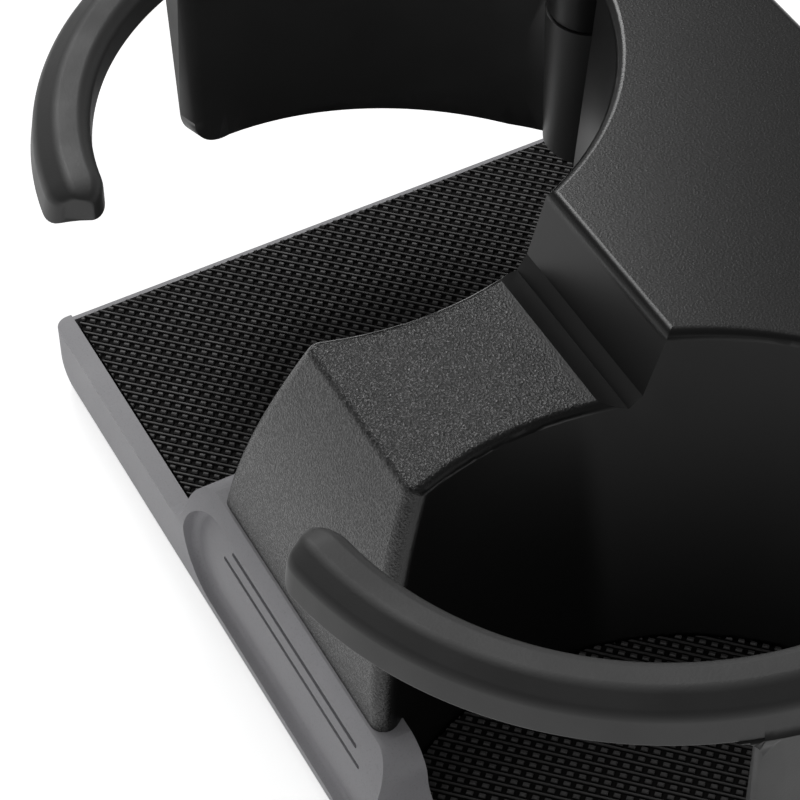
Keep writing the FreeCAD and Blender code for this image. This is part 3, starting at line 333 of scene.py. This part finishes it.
def drawn_metal(name, hue, roughness, streak):
    """Steel, ground, drawn or plated, with fine marks that vary its roughness.

    A streak above 1 packs the marks closer along Z, and one below 1 draws them out.
    """
    material, place = new_material(name)
    stretched = add_node(material, "ShaderNodeMapping", {
        "Vector": place, "Scale": (1, 1, streak)})
    lines = add_node(material, "ShaderNodeTexNoise", {
        "Vector": stretched.outputs["Vector"], "Scale": 1 / (0.5 * MM), "Detail": 2.0})
    rough = add_node(material, "ShaderNodeMapRange", {
        "Value": lines.outputs["Fac"], "From Min": 0.3, "From Max": 0.7,
        "To Min": roughness - 0.06, "To Max": roughness + 0.08})
    shader = add_node(material, "ShaderNodeBsdfPrincipled", {
        "Base Color": linear(hue), "Metallic": 1.0, "Roughness": rough.outputs["Result"]})
    add_node(material, "ShaderNodeOutputMaterial", {"Surface": shader.outputs["BSDF"]})
    return material


FINISH_MAKERS = {
    # Moulded ABS, leather grain: charcoal, breaks the light into points; painted shade in the
    # grain's pits, on the cup walls and on the step, painted highlight on the grain's tops.
    "grained_abs": lambda name: grained_body(name, shade("body_colour"), 0.28),
    # Moulded nylon, fine tool finish: charcoal with a broad satin sheen.
    "satin_nylon": lambda name: moulded_plastic(name, shade("wing_colour"), 0.3, 0.005, 0.48),
    # Moulded ABS, fine spark grain: pale grey, almost flat.
    "grey_abs": lambda name: moulded_plastic(
        name, shade("tray_colour"), 0.35, 0.012, 0.5, fleck="#a3a2a6"),
    # Thermoplastic rubber, moulded: painted shade makes its pits black and dull, satin on its
    # ribs.
    "ribbed_elastomer": lambda name: ribbed_rubber(
        name, linear("#242323"), shade("rib_colour"), 0.55),
    # Nitrile rubber, moulded: black and dull.
    "nitrile_rubber": lambda name: moulded_plastic(name, linear("#181818"), 0.3, 0.01, 0.7),
    # Acetal, moulded without pigment: off-white with a waxy sheen.
    "acetal": lambda name: moulded_plastic(name, linear("#dbd8cf"), 0.5, 0.005, 0.35),
    # Hardened steel, ground: bright, with close marks round the pin.
    "ground_steel": lambda name: drawn_metal(name, "#b4b4b6", 0.28, 6.0),
    # Steel, zinc plated: pale grey with an even, soft sheen.
    "zinc_plated_steel": lambda name: drawn_metal(name, "#b9bab8", 0.36, 1.0),
    # Spring steel, blackened: dark with a dull metallic sheen.
    "black_spring_steel": lambda name: drawn_metal(name, "#4c4c50", 0.35, 1.0),
    # Spring wire, drawn: mid grey, bright along the top of each coil.
    "spring_wire": lambda name: drawn_metal(name, "#8a8a8e", 0.3, 0.2),
}
# Finishes made so far, by name.
MADE = {}


def finish(name):
    """Return a finish, made the first time it is asked for."""
    if name not in MADE:
        MADE[name] = FINISH_MAKERS[name](name)
    return MADE[name]


def coat(thing, name):
    """Give an object one finish all over."""
    thing.data.materials.clear()
    thing.data.materials.append(finish(name))


# Stage

# Camera worked out from the photograph. Its focal length and its principal point, counted from
# the upper left corner, are in pixels.
CAMERA_PLACE = (168.96, -93.14, 248.10)
CAMERA_AZIMUTH = 62.41
CAMERA_ELEVATION = 47.21
CAMERA_ROLL = -1.16
FOCAL_PIXELS = 2758.7
PHOTO_PIXELS = 800
PRINCIPAL_POINT = (435.1, 394.4)
# Between two heights of the sky, its light fades from the sweep to the ceiling.
SWEEP_LOW = 0.2
SWEEP_HIGH = 0.55
SWEEP_LIGHT = 0.56
CEILING_LIGHT = 0.12
# Light that the floor gives off by itself, seen only by the camera and in reflections.
FLOOR_GLOW = 0.72
# Name, place, aim, width and watts of each soft lamp.
LAMPS = (
    ("high_softbox", (-480, 0, 1010), (0, 0, 30), 380, 1.2),
    ("rear_softbox", (-898, 241, 900), (0, 0, 30), 400, 4.2),
)


def camera_axes():
    """Return the camera's right, up and back directions."""
    azimuth, elevation, roll = (
        math.radians(a) for a in (CAMERA_AZIMUTH, CAMERA_ELEVATION, CAMERA_ROLL))
    back = Vector((math.sin(azimuth) * math.cos(elevation),
                   -math.cos(azimuth) * math.cos(elevation), math.sin(elevation)))
    level = (-back).cross(Vector((0, 0, 1))).normalized()
    upright = level.cross(-back)
    right = math.cos(roll) * level + math.sin(roll) * upright
    up = -math.sin(roll) * level + math.cos(roll) * upright
    return right, up, back


def add_camera():
    """Add the camera where the photograph was taken from."""
    data = bpy.data.cameras.new("Camera")
    camera = bpy.data.objects.new("Camera", data)
    bpy.context.collection.objects.link(camera)
    right, up, back = camera_axes()
    turn = Matrix((right, up, back)).transposed().to_4x4()
    camera.matrix_world = Matrix.Translation(Vector(CAMERA_PLACE) * MM) @ turn
    data.sensor_width = 36.0
    data.lens = FOCAL_PIXELS / PHOTO_PIXELS * data.sensor_width
    data.shift_x = (PHOTO_PIXELS / 2 - PRINCIPAL_POINT[0]) / PHOTO_PIXELS
    data.shift_y = (PRINCIPAL_POINT[1] - PHOTO_PIXELS / 2) / PHOTO_PIXELS
    data.clip_start = 0.01
    bpy.context.scene.camera = camera


def add_lamp(name, place, aim, width, watts):
    """Add a square softbox that faces a point; places are in millimetres."""
    data = bpy.data.lights.new(name, "AREA")
    data.shape = "SQUARE"
    data.size = width * MM
    data.energy = watts * settings().lamp_level
    lamp = bpy.data.objects.new(name, data)
    bpy.context.collection.objects.link(lamp)
    away = (Vector(place) - Vector(aim)).normalized()
    lamp.matrix_world = (Matrix.Translation(Vector(place) * MM)
                         @ away.to_track_quat("Z", "Y").to_matrix().to_4x4())


def make_world():
    """Pale sweep round the horizon under a dim ceiling, the same for every ray."""
    world = bpy.data.worlds.new("Studio")
    bpy.context.scene.world = world
    world.use_nodes = True
    world.node_tree.nodes.clear()
    place = add_node(world, "ShaderNodeTexCoord").outputs["Generated"]
    height = add_node(world, "ShaderNodeSeparateXYZ", {"Vector": place}).outputs["Z"]
    light = add_node(world, "ShaderNodeMapRange", {
        "Value": height, "From Min": SWEEP_LOW, "From Max": SWEEP_HIGH,
        "To Min": SWEEP_LIGHT, "To Max": CEILING_LIGHT}, interpolation_type="SMOOTHSTEP")
    sky = add_node(world, "ShaderNodeBackground", {
        "Color": linear("#ffffff"), "Strength": light.outputs["Result"]})
    add_node(world, "ShaderNodeOutputWorld", {"Surface": sky.outputs[0]})


def make_floor():
    """Lay a sheet of matt white paper that stays white and keeps the object's shadow."""
    bpy.ops.object.select_all(action="DESELECT")
    bpy.ops.mesh.primitive_plane_add(size=4.0, location=(0, 0, 0))
    floor = bpy.context.object
    floor.name = "floor"
    # Matt white paper: no edge and no sheen, only a soft shadow.
    material = new_material("white_paper")[0]
    path = add_node(material, "ShaderNodeLightPath")
    matt = add_node(material, "ShaderNodeBsdfDiffuse", {"Color": linear("#f4f4f4")})
    glow = add_node(material, "ShaderNodeEmission", {
        "Color": linear("#ffffff"), "Strength": FLOOR_GLOW})
    seen = calc(material, "ADD", path.outputs["Is Camera Ray"], path.outputs["Is Glossy Ray"])
    seen = add_node(material, "ShaderNodeMath", {
        0: seen, 1: path.outputs["Is Transmission Ray"]}, operation="ADD", use_clamp=True)
    none = add_node(material, "ShaderNodeEmission", {"Color": linear("#000000"), "Strength": 0.0})
    lift = add_node(material, "ShaderNodeMixShader", {
        0: seen.outputs[0], 1: none.outputs[0], 2: glow.outputs[0]})
    both = add_node(material, "ShaderNodeAddShader", {0: matt.outputs[0], 1: lift.outputs[0]})
    add_node(material, "ShaderNodeOutputMaterial", {"Surface": both.outputs[0]})
    floor.data.materials.append(material)


class CUPHOLDER_OT_stage(bpy.types.Operator):
    """Add the floor, the soft lamps, the world and the camera"""
    bl_idname = "cupholder.stage"
    bl_label = "Stage"

    def execute(self, context):
        context.scene.view_settings.view_transform = "Standard"
        make_world()
        make_floor()
        add_camera()
        for lamp in LAMPS:
            add_lamp(*lamp)
        return {"FINISHED"}


NODE_FINISHES = {
    "grey_tray": "grey_abs",
    "upper_body": "grained_abs",
    "left_mat": "ribbed_elastomer",
    "right_mat": "ribbed_elastomer",
    "left_wing": "satin_nylon",
    "right_wing": "satin_nylon",
    "left_pivot_pin": "ground_steel",
    "right_pivot_pin": "ground_steel",
    "left_pin_clip": "black_spring_steel",
    "right_pin_clip": "black_spring_steel",
    "left_wing_spring": "spring_wire",
    "right_wing_spring": "spring_wire",
    "left_stop_buffer": "nitrile_rubber",
    "right_stop_buffer": "nitrile_rubber",
    "body_screws": "zinc_plated_steel",
    "left_runner": "acetal",
    "right_runner": "acetal",
    "runner_screws": "zinc_plated_steel",
    "latch_striker": "zinc_plated_steel",
    "striker_screws": "zinc_plated_steel",
}


class CUPHOLDER_OT_finishes(bpy.types.Operator):
    """Give every solid of the frame its finish"""
    bl_idname = "cupholder.finishes"
    bl_label = "Finishes"

    def execute(self, context):
        for node, name in NODE_FINISHES.items():
            coat(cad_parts[node], name)
        return {"FINISHED"}


# Modelling helpers

def only(thing):
    """Make one object the selected and active one."""
    bpy.ops.object.select_all(action="DESELECT")
    thing.select_set(True)
    bpy.context.view_layer.objects.active = thing


def edit(thing):
    """Open an object in edit mode with nothing selected."""
    only(thing)
    bpy.ops.object.mode_set(mode="EDIT")
    bpy.ops.mesh.select_all(action="DESELECT")


def done():
    """Leave edit mode."""
    bpy.ops.object.mode_set(mode="OBJECT")


def pick(thing, kind, test):
    """Select the faces or vertices of an object in edit mode that a test picks.

    The test is given a vertex's place or a face's middle in millimetres, and a face's normal too.
    """
    bpy.context.tool_settings.mesh_select_mode = (kind == "VERT", False, kind == "FACE")
    bpy.ops.mesh.select_all(action="DESELECT")
    bpy.ops.object.mode_set(mode="OBJECT")
    mesh = thing.data
    if kind == "FACE":
        hits = [face for face in mesh.polygons if test(face.center / MM, face.normal)]
    else:
        hits = [point for point in mesh.vertices if test(point.co / MM)]
    for hit in hits:
        hit.select = True
    bpy.ops.object.mode_set(mode="EDIT")
    if not hits:
        raise RuntimeError("nothing to select on " + thing.name)


def extrude(offset):
    """Extrude the selected faces by an offset in metres."""
    bpy.ops.mesh.extrude_region_move(TRANSFORM_OT_translate={"value": offset})


def close_up(threshold=None):
    """Merge near points if asked to, turn all faces outwards and leave edit mode."""
    bpy.ops.mesh.select_all(action="SELECT")
    if threshold:
        bpy.ops.mesh.remove_doubles(threshold=threshold)
    bpy.ops.mesh.normals_make_consistent(inside=False)
    done()


def merged_copy(node, name):
    """Copy a solid of the frame as one closed mesh with its points merged."""
    thing = bpy.data.objects.new(name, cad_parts[node].data.copy())
    bpy.context.collection.objects.link(thing)
    thing.data.name = name
    edit(thing)
    bpy.ops.mesh.select_all(action="SELECT")
    bpy.ops.mesh.remove_doubles(threshold=MERGE)
    done()
    return thing


def apply(thing, modifier):
    """Put the effect of a modifier into its object's mesh."""
    only(thing)
    bpy.ops.object.modifier_apply(modifier=modifier.name)


def fit(thing):
    """Put an object's place, turn and scale into its mesh."""
    only(thing)
    bpy.ops.object.transform_apply(location=True, rotation=True, scale=True)


def combine(thing, other, operation):
    """Join, cut or intersect two closed meshes, and drop the second."""
    modifier = thing.modifiers.new(operation.lower(), "BOOLEAN")
    modifier.operation = operation
    modifier.solver = "MANIFOLD"
    modifier.object = other
    apply(thing, modifier)
    bpy.data.objects.remove(other)


def soften(thing, angle=30):
    """Shade an object smooth, apart from edges sharper than an angle."""
    only(thing)
    bpy.ops.object.shade_smooth_by_angle(angle=math.radians(angle))


def even_shading(thing):
    """Let the large faces set the shading, so that narrow ones beside them leave no streaks."""
    modifier = thing.modifiers.new("even", "WEIGHTED_NORMAL")
    modifier.keep_sharp = True
    apply(thing, modifier)


def hand(side):
    """Return the word for a side, which is -1 or 1."""
    return "left" if side < 0 else "right"


def hand_over(thing, body, node, finish_name):
    """Finish a piece and put it in the place of a solid of the frame."""
    coat(thing, finish_name)
    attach(thing, body)
    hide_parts(node)
    return thing


# Rubber mats

# Corners of a block's foot in its cell, and how far its top narrows along and across the rib.
BLOCK_LOW, BLOCK_HIGH = (0.22, 0.48), (1.12, 1.14)
BLOCK_TAPER = (0.66, 0.4)
# Height of the thin ridge as a share of the pit's depth, and how far its top narrows.
RIB_RISE = 0.76
RIB_TAPER = 0.6
# Middle of the right mat, width of the field that both mats are cut from and how far it reaches
# down, and how far a mat's outline is raised so that it cuts through all blocks.
MAT_MIDDLE = (36.0, 12.0)
MAT_REACH = 88.0
FIELD_BOTTOM = -4.0
OUTLINE_LIFT = 0.5


def relief_cell():
    """One cell of the mat's relief: a pit with a raised block, beside a thin ridge."""
    bpy.ops.object.select_all(action="DESELECT")
    bpy.ops.mesh.primitive_plane_add(size=1, location=(
        size("block_pitch") / 2 * MM, size("row_pitch") / 2 * MM, -size("pit_depth") * MM))
    cell = bpy.context.object
    cell.scale = (size("block_pitch") * MM, size("row_pitch") * MM, 1)
    fit(cell)
    edit(cell)
    cuts = [("x", BLOCK_LOW[0]), ("x", BLOCK_HIGH[0]), ("y", size("rib_width")),
            ("y", BLOCK_LOW[1]), ("y", BLOCK_HIGH[1])]
    for axis, place in cuts:
        bpy.ops.mesh.select_all(action="SELECT")
        along = (place * MM, 0, 0) if axis == "x" else (0, place * MM, 0)
        across = (1, 0, 0) if axis == "x" else (0, 1, 0)
        bpy.ops.mesh.bisect(plane_co=along, plane_no=across)
    middle = [(low + high) / 2 for low, high in zip(BLOCK_LOW, BLOCK_HIGH)]
    pick(cell, "FACE", lambda at, normal: (
        abs(at.x - middle[0]) < 0.1 and abs(at.y - middle[1]) < 0.1))
    extrude((0, 0, size("pit_depth") * MM))
    bpy.ops.transform.resize(value=(*BLOCK_TAPER, 1), center_override=(
        middle[0] * MM, middle[1] * MM, 0))
    pick(cell, "FACE", lambda at, normal: (
        at.y < size("rib_width") and at.z < 0.1 - size("pit_depth")))
    extrude((0, 0, RIB_RISE * size("pit_depth") * MM))
    bpy.ops.transform.resize(value=(1, RIB_TAPER, 1), center_override=(
        0, size("rib_width") / 2 * MM, 0))
    pick(cell, "FACE", lambda at, normal: (
        abs(normal.x) > 0.9 and (at.x < 0.001 or at.x > size("block_pitch") - 0.001)))
    bpy.ops.mesh.delete(type="FACE")
    done()
    return cell


def relief_field():
    """Repeat the cell over more than a mat and close it underneath."""
    field = relief_cell()
    for step, count in (((size("block_pitch"), 0), MAT_REACH / size("block_pitch")),
                        ((0, size("row_pitch")), MAT_REACH / size("row_pitch"))):
        rows = field.modifiers.new("rows", "ARRAY")
        rows.use_relative_offset = False
        rows.use_constant_offset = True
        rows.constant_offset_displace = (step[0] * MM, step[1] * MM, 0)
        rows.count = int(count)
        rows.use_merge_vertices = True
        rows.merge_threshold = MERGE
        apply(field, rows)
    edit(field)
    bpy.context.tool_settings.mesh_select_mode = (False, True, False)
    bpy.ops.mesh.select_non_manifold(extend=False)
    bpy.ops.mesh.extrude_edges_move(TRANSFORM_OT_translate={"value": (0, 0, FIELD_BOTTOM * MM)})
    bpy.ops.transform.resize(value=(1, 1, 0), center_override=(0, 0, FIELD_BOTTOM * MM))
    bpy.ops.mesh.edge_face_add()
    close_up()
    return field


def make_mat(side, field):
    """Cut the relief to one mat's outline; the rows run the same way on both mats."""
    name = hand(side) + "_rubber_mat"
    node = hand(side) + "_mat"
    mat = field.copy()
    mat.data = field.data.copy()
    mat.name = mat.data.name = name
    bpy.context.collection.objects.link(mat)
    turn = Matrix.Rotation(settings().row_turn, 4, "Z")
    middle = turn @ Vector((int(MAT_REACH / size("block_pitch")) * size("block_pitch") / 2,
                            int(MAT_REACH / size("row_pitch")) * size("row_pitch") / 2, 0))
    mat.rotation_euler = (0, 0, settings().row_turn)
    mat.location = Vector((
        side * MAT_MIDDLE[0] - middle.x, MAT_MIDDLE[1] - middle.y, MAT_TOP)) * MM
    fit(mat)
    outline = merged_copy(node, name + "_outline")
    edit(outline)
    pick(outline, "VERT", lambda at: at.z > MAT_TOP - 0.05)
    bpy.ops.transform.translate(value=(0, 0, OUTLINE_LIFT * MM))
    done()
    combine(mat, outline, "INTERSECT")
    only(mat)
    bpy.ops.object.shade_flat()
    return hand_over(mat, "holder", node, "ribbed_elastomer")


class CUPHOLDER_OT_mats(bpy.types.Operator):
    """Model the relief of the rubber mats and cut it to each mat's outline"""
    bl_idname = "cupholder.mats"
    bl_label = "Rubber mats"

    def execute(self, context):
        field = relief_field()
        for side in (-1, 1):
            make_mat(side, field)
        bpy.data.objects.remove(field)
        return {"FINISHED"}


# Wings

# Axis of the right hinge, and turn that would bring the ring's middle from rest over the cup.
PIVOT = (43.7, 39.6)
SWING = 38.1
# Angles of the ring at the tip and the root of the arm, and heights of its top and underside.
ARM_START = -47.5
ARM_END = 71.0
ARM_TOP = 62.0
ARM_BOTTOM = 57.6
# Height above which the solid of the wing is cut off, and size of the block that cuts it.
ARM_CUT = 57.68
CUT_SIZE = 100.0
# Radius on which the length of the tip is measured, and radius that the tip narrows towards.
ARM_RADIUS = 38.0
TIP_RADIUS = 37.9
# Corners of the arm's section as radius, height and rounding, from the inner foot round.
ARM_SECTION = (
    (34.7, 57.6, 0.5),
    (34.6, 61.7, 1.4),
    (38.2, 62.0, 0.55),
    (40.5, 60.9, 0.7),
    (41.1, 57.6, 0.3),
)
CORNER_STEPS = 6
ARM_STEPS = 72
# Shares of the arm's width and height that are left at the end of its tip.
TIP_STEPS = 9
TIP_END_WIDTH = 0.34
TIP_END_HEIGHT = 0.6
# Lip that closes the joint between the arm's outer face and the skirt.
LIP_START = 20.4
LIP_END = ARM_END - 2
LIP_STEPS = 40
LIP_SECTION = (
    (38.9, 59.0, 0.0),
    (40.62, 59.5, 0.0),
    (41.36, 57.3, 0.25),
    (40.3, 57.0, 0.0),
    (38.9, 57.0, 0.0),
)


def wing_centre():
    """Return the middle of the right wing's ring with the wing at rest."""
    away = Vector((CUP_X - PIVOT[0], -PIVOT[1], 0))
    return Vector((*PIVOT, 0)) + Matrix.Rotation(math.radians(-SWING), 3, "Z") @ away


def outward(angle):
    """Return the direction from the ring's middle at an angle, with the wing at rest."""
    turned = math.radians(angle - SWING)
    return Vector((math.cos(turned), math.sin(turned), 0))


def ring_section(corners, start):
    """Draw a section with rounded corners as a face at an angle of the ring."""
    out = outward(start)
    centre = wing_centre()
    bpy.ops.object.select_all(action="DESELECT")
    bpy.ops.mesh.primitive_circle_add(vertices=len(corners), radius=MM, fill_type="NGON",
                                      location=(0, 0, 0))
    section = bpy.context.object
    for point, (radius, height, _) in zip(section.data.vertices, corners):
        point.co = (centre + out * radius + Vector((0, 0, height))) * MM
    edit(section)
    for radius, height, rounding in corners:
        if not rounding:
            continue
        corner = centre + out * radius + Vector((0, 0, height))
        pick(section, "VERT", lambda at: (at - corner).length < 0.01)
        bpy.ops.mesh.bevel(offset=rounding * MM, segments=CORNER_STEPS, affect="VERTICES",
                           clamp_overlap=True)
    done()
    return section


def sweep(steps, angle):
    """Sweep the selected section round the ring; spin turns clockwise about its axis."""
    bpy.ops.mesh.spin(steps=steps, angle=math.radians(angle), center=wing_centre() * MM,
                      axis=(0, 0, -1), dupli=False, use_auto_merge=False)


def make_lip():
    """Sweep the small lip under the arm that covers the top of the skirt."""
    lip = ring_section(LIP_SECTION, LIP_START)
    edit(lip)
    bpy.ops.mesh.select_all(action="SELECT")
    sweep(LIP_STEPS, LIP_END - LIP_START)
    close_up(MERGE)
    return lip


def make_arm():
    """Sweep the right arm round its ring and narrow its tip in steps along a quarter circle."""
    start = ARM_START + math.degrees(size("tip_length") / ARM_RADIUS)
    arm = ring_section(ARM_SECTION, start)
    edit(arm)
    bpy.ops.mesh.select_all(action="SELECT")
    sweep(ARM_STEPS, ARM_END - start)
    back = outward(start + 90) * -1
    middle = wing_centre() + outward(start) * TIP_RADIUS
    middle.z = (ARM_TOP + ARM_BOTTOM) / 2
    pick(arm, "FACE", lambda at, normal: abs(normal.dot(back)) > 0.99 and (
        abs((at - middle).dot(back)) < 0.05))
    gone, wide, high = 0.0, 1.0, 1.0
    turn = Matrix.Rotation(math.atan2(outward(start).y, outward(start).x), 3, "Z")
    for number in range(1, TIP_STEPS + 1):
        round_off = number / TIP_STEPS * math.pi / 2
        share = math.sin(round_off)
        width = TIP_END_WIDTH + (1 - TIP_END_WIDTH) * math.cos(round_off)
        height = TIP_END_HEIGHT + (1 - TIP_END_HEIGHT) * math.cos(round_off)
        step = (share - gone) * size("tip_length")
        extrude(back * step * MM)
        place = middle + back * share * size("tip_length")
        bpy.ops.transform.resize(
            value=(width / wide, 1, height / high), center_override=place * MM,
            orient_type="GLOBAL", orient_matrix=turn.transposed(), orient_matrix_type="GLOBAL")
        gone, wide, high = share, width, height
    close_up(MERGE)
    return arm


def make_wing():
    """Join the skirt and barrel of the right wing's solid to a newly swept arm."""
    wing = merged_copy("right_wing", "right_swing_arm")
    bpy.ops.object.select_all(action="DESELECT")
    bpy.ops.mesh.primitive_cube_add(size=CUT_SIZE * MM, location=(
        PIVOT[0] * MM, 0, (ARM_CUT + CUT_SIZE / 2) * MM))
    combine(wing, bpy.context.object, "DIFFERENCE")
    combine(wing, make_arm(), "UNION")
    combine(wing, make_lip(), "UNION")
    soften(wing, angle=50)
    return wing


def mirrored(thing, name):
    """Copy a right-hand piece to the left."""
    twin = thing.copy()
    twin.data = thing.data.copy()
    twin.name = twin.data.name = name
    bpy.context.collection.objects.link(twin)
    twin.scale = (-1, 1, 1)
    fit(twin)
    edit(twin)
    close_up()
    return twin


class CUPHOLDER_OT_wings(bpy.types.Operator):
    """Model the two swing-out wings"""
    bl_idname = "cupholder.wings"
    bl_label = "Wings"

    def execute(self, context):
        right = make_wing()
        left = mirrored(right, "left_swing_arm")
        even_shading(right)
        even_shading(left)
        hand_over(right, "right_wing", "right_wing", "satin_nylon")
        hand_over(left, "left_wing", "left_wing", "satin_nylon")
        return {"FINISHED"}


# Springs and screws

WIRE_CORNERS = 12
TURN_STEPS = 28


def make_spring(side):
    """Wind a spring round its pin where the solid of the frame stands."""
    node = hand(side) + "_wing_spring"
    low, high = (Vector(corner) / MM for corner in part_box(node))
    outer = (high.x - low.x) / 2
    bpy.ops.object.select_all(action="DESELECT")
    bpy.ops.mesh.primitive_circle_add(
        vertices=WIRE_CORNERS, radius=size("spring_wire") * MM, fill_type="NGON",
        rotation=(math.pi / 2, 0, 0),
        location=((outer - size("spring_wire")) * MM, 0, size("spring_wire") * MM))
    spring = bpy.context.object
    spring.name = spring.data.name = hand(side) + "_coil_spring"
    fit(spring)
    rise = high.z - low.z - 2 * size("spring_wire")
    coil = spring.modifiers.new("coil", "SCREW")
    coil.angle = math.radians(360 * settings().spring_turns)
    coil.screw_offset = rise * MM
    coil.steps = coil.render_steps = int(TURN_STEPS * settings().spring_turns)
    apply(spring, coil)
    spring.location = ((low.x + high.x) / 2 * MM, (low.y + high.y) / 2 * MM, low.z * MM)
    fit(spring)
    edit(spring)
    close_up(FINE_MERGE)
    soften(spring, angle=60)
    return hand_over(spring, "holder", node, "spring_wire")


# Cross recess of a screw's head: its length, width and depth, and how far its floor narrows.
RECESS_LENGTH = 2.9
RECESS_WIDTH = 0.75
RECESS_DEPTH = 1.1
RECESS_TAPER = 0.55


def cross_tool(place):
    """Make the tapered cross that a drive recess is cut with, its foot at a place."""
    bars = []
    for turn in (0, 90):
        bpy.ops.object.select_all(action="DESELECT")
        bpy.ops.mesh.primitive_cube_add(size=1, location=place * MM)
        bar = bpy.context.object
        bar.scale = (RECESS_LENGTH * MM, RECESS_WIDTH * MM, 2 * RECESS_DEPTH * MM)
        bar.rotation_euler = (0, 0, math.radians(turn))
        fit(bar)
        edit(bar)
        pick(bar, "FACE", lambda at, normal: normal.z > 0.9)
        bpy.ops.transform.resize(
            value=(RECESS_TAPER, RECESS_TAPER, 1), center_override=place * MM)
        done()
        bars.append(bar)
    combine(bars[0], bars[1], "UNION")
    return bars[0]


def make_screws(node, name):
    """Copy a group of screws and cut a cross recess in each one's head from below."""
    group = merged_copy(node, name)
    edit(group)
    bpy.ops.mesh.select_all(action="SELECT")
    bpy.ops.mesh.separate(type="LOOSE")
    done()
    screws = [item for item in bpy.context.selected_objects if item.type == "MESH"]
    for screw in screws:
        points = [point.co / MM for point in screw.data.vertices]
        low = [min(point[axis] for point in points) for axis in range(3)]
        high = [max(point[axis] for point in points) for axis in range(3)]
        foot = Vector(((low[0] + high[0]) / 2, (low[1] + high[1]) / 2, low[2]))
        combine(screw, cross_tool(foot), "DIFFERENCE")
    bpy.ops.object.select_all(action="DESELECT")
    for screw in screws:
        screw.select_set(True)
    bpy.context.view_layer.objects.active = screws[0]
    bpy.ops.object.join()
    screws[0].name = screws[0].data.name = name
    soften(screws[0])
    return hand_over(screws[0], "holder", node, "zinc_plated_steel")


class CUPHOLDER_OT_hardware(bpy.types.Operator):
    """Wind the springs and cut the drive recesses of the screws"""
    bl_idname = "cupholder.hardware"
    bl_label = "Springs and screws"

    def execute(self, context):
        for side in (-1, 1):
            make_spring(side)
        for node, name in (("body_screws", "body_pan_screws"),
                           ("runner_screws", "runner_pan_screws"),
                           ("striker_screws", "striker_pan_screws")):
            make_screws(node, name)
        return {"FINISHED"}


class CUPHOLDER_PT_panel(bpy.types.Panel):
    """Settings and steps of the cup holder"""
    bl_idname = "CUPHOLDER_PT_panel"
    bl_label = "Cup holder"
    bl_space_type = "VIEW_3D"
    bl_region_type = "UI"
    bl_category = "Cup holder"

    def draw(self, context):
        column = self.layout.column()
        for name in CUPHOLDER_PG_settings.__annotations__:
            column.prop(context.scene.cupholder, name)
        for step in STEPS:
            column.operator(step.bl_idname)


STEPS = (CUPHOLDER_OT_finishes, CUPHOLDER_OT_mats, CUPHOLDER_OT_wings,
         CUPHOLDER_OT_hardware, CUPHOLDER_OT_stage)
CLASSES = (CUPHOLDER_PG_settings, *STEPS, CUPHOLDER_PT_panel)


def register():
    """Register the classes and the settings."""
    for item in CLASSES:
        bpy.utils.register_class(item)
    bpy.types.Scene.cupholder = bpy.props.PointerProperty(type=CUPHOLDER_PG_settings)


def unregister():
    """Take the settings and the classes away again."""
    del bpy.types.Scene.cupholder
    for item in reversed(CLASSES):
        bpy.utils.unregister_class(item)


def main():
    """Build the whole scene."""
    register()
    bpy.ops.cupholder.finishes()
    bpy.ops.cupholder.mats()
    bpy.ops.cupholder.wings()
    bpy.ops.cupholder.hardware()
    bpy.ops.cupholder.stage()


if __name__ == "__main__":
    main()
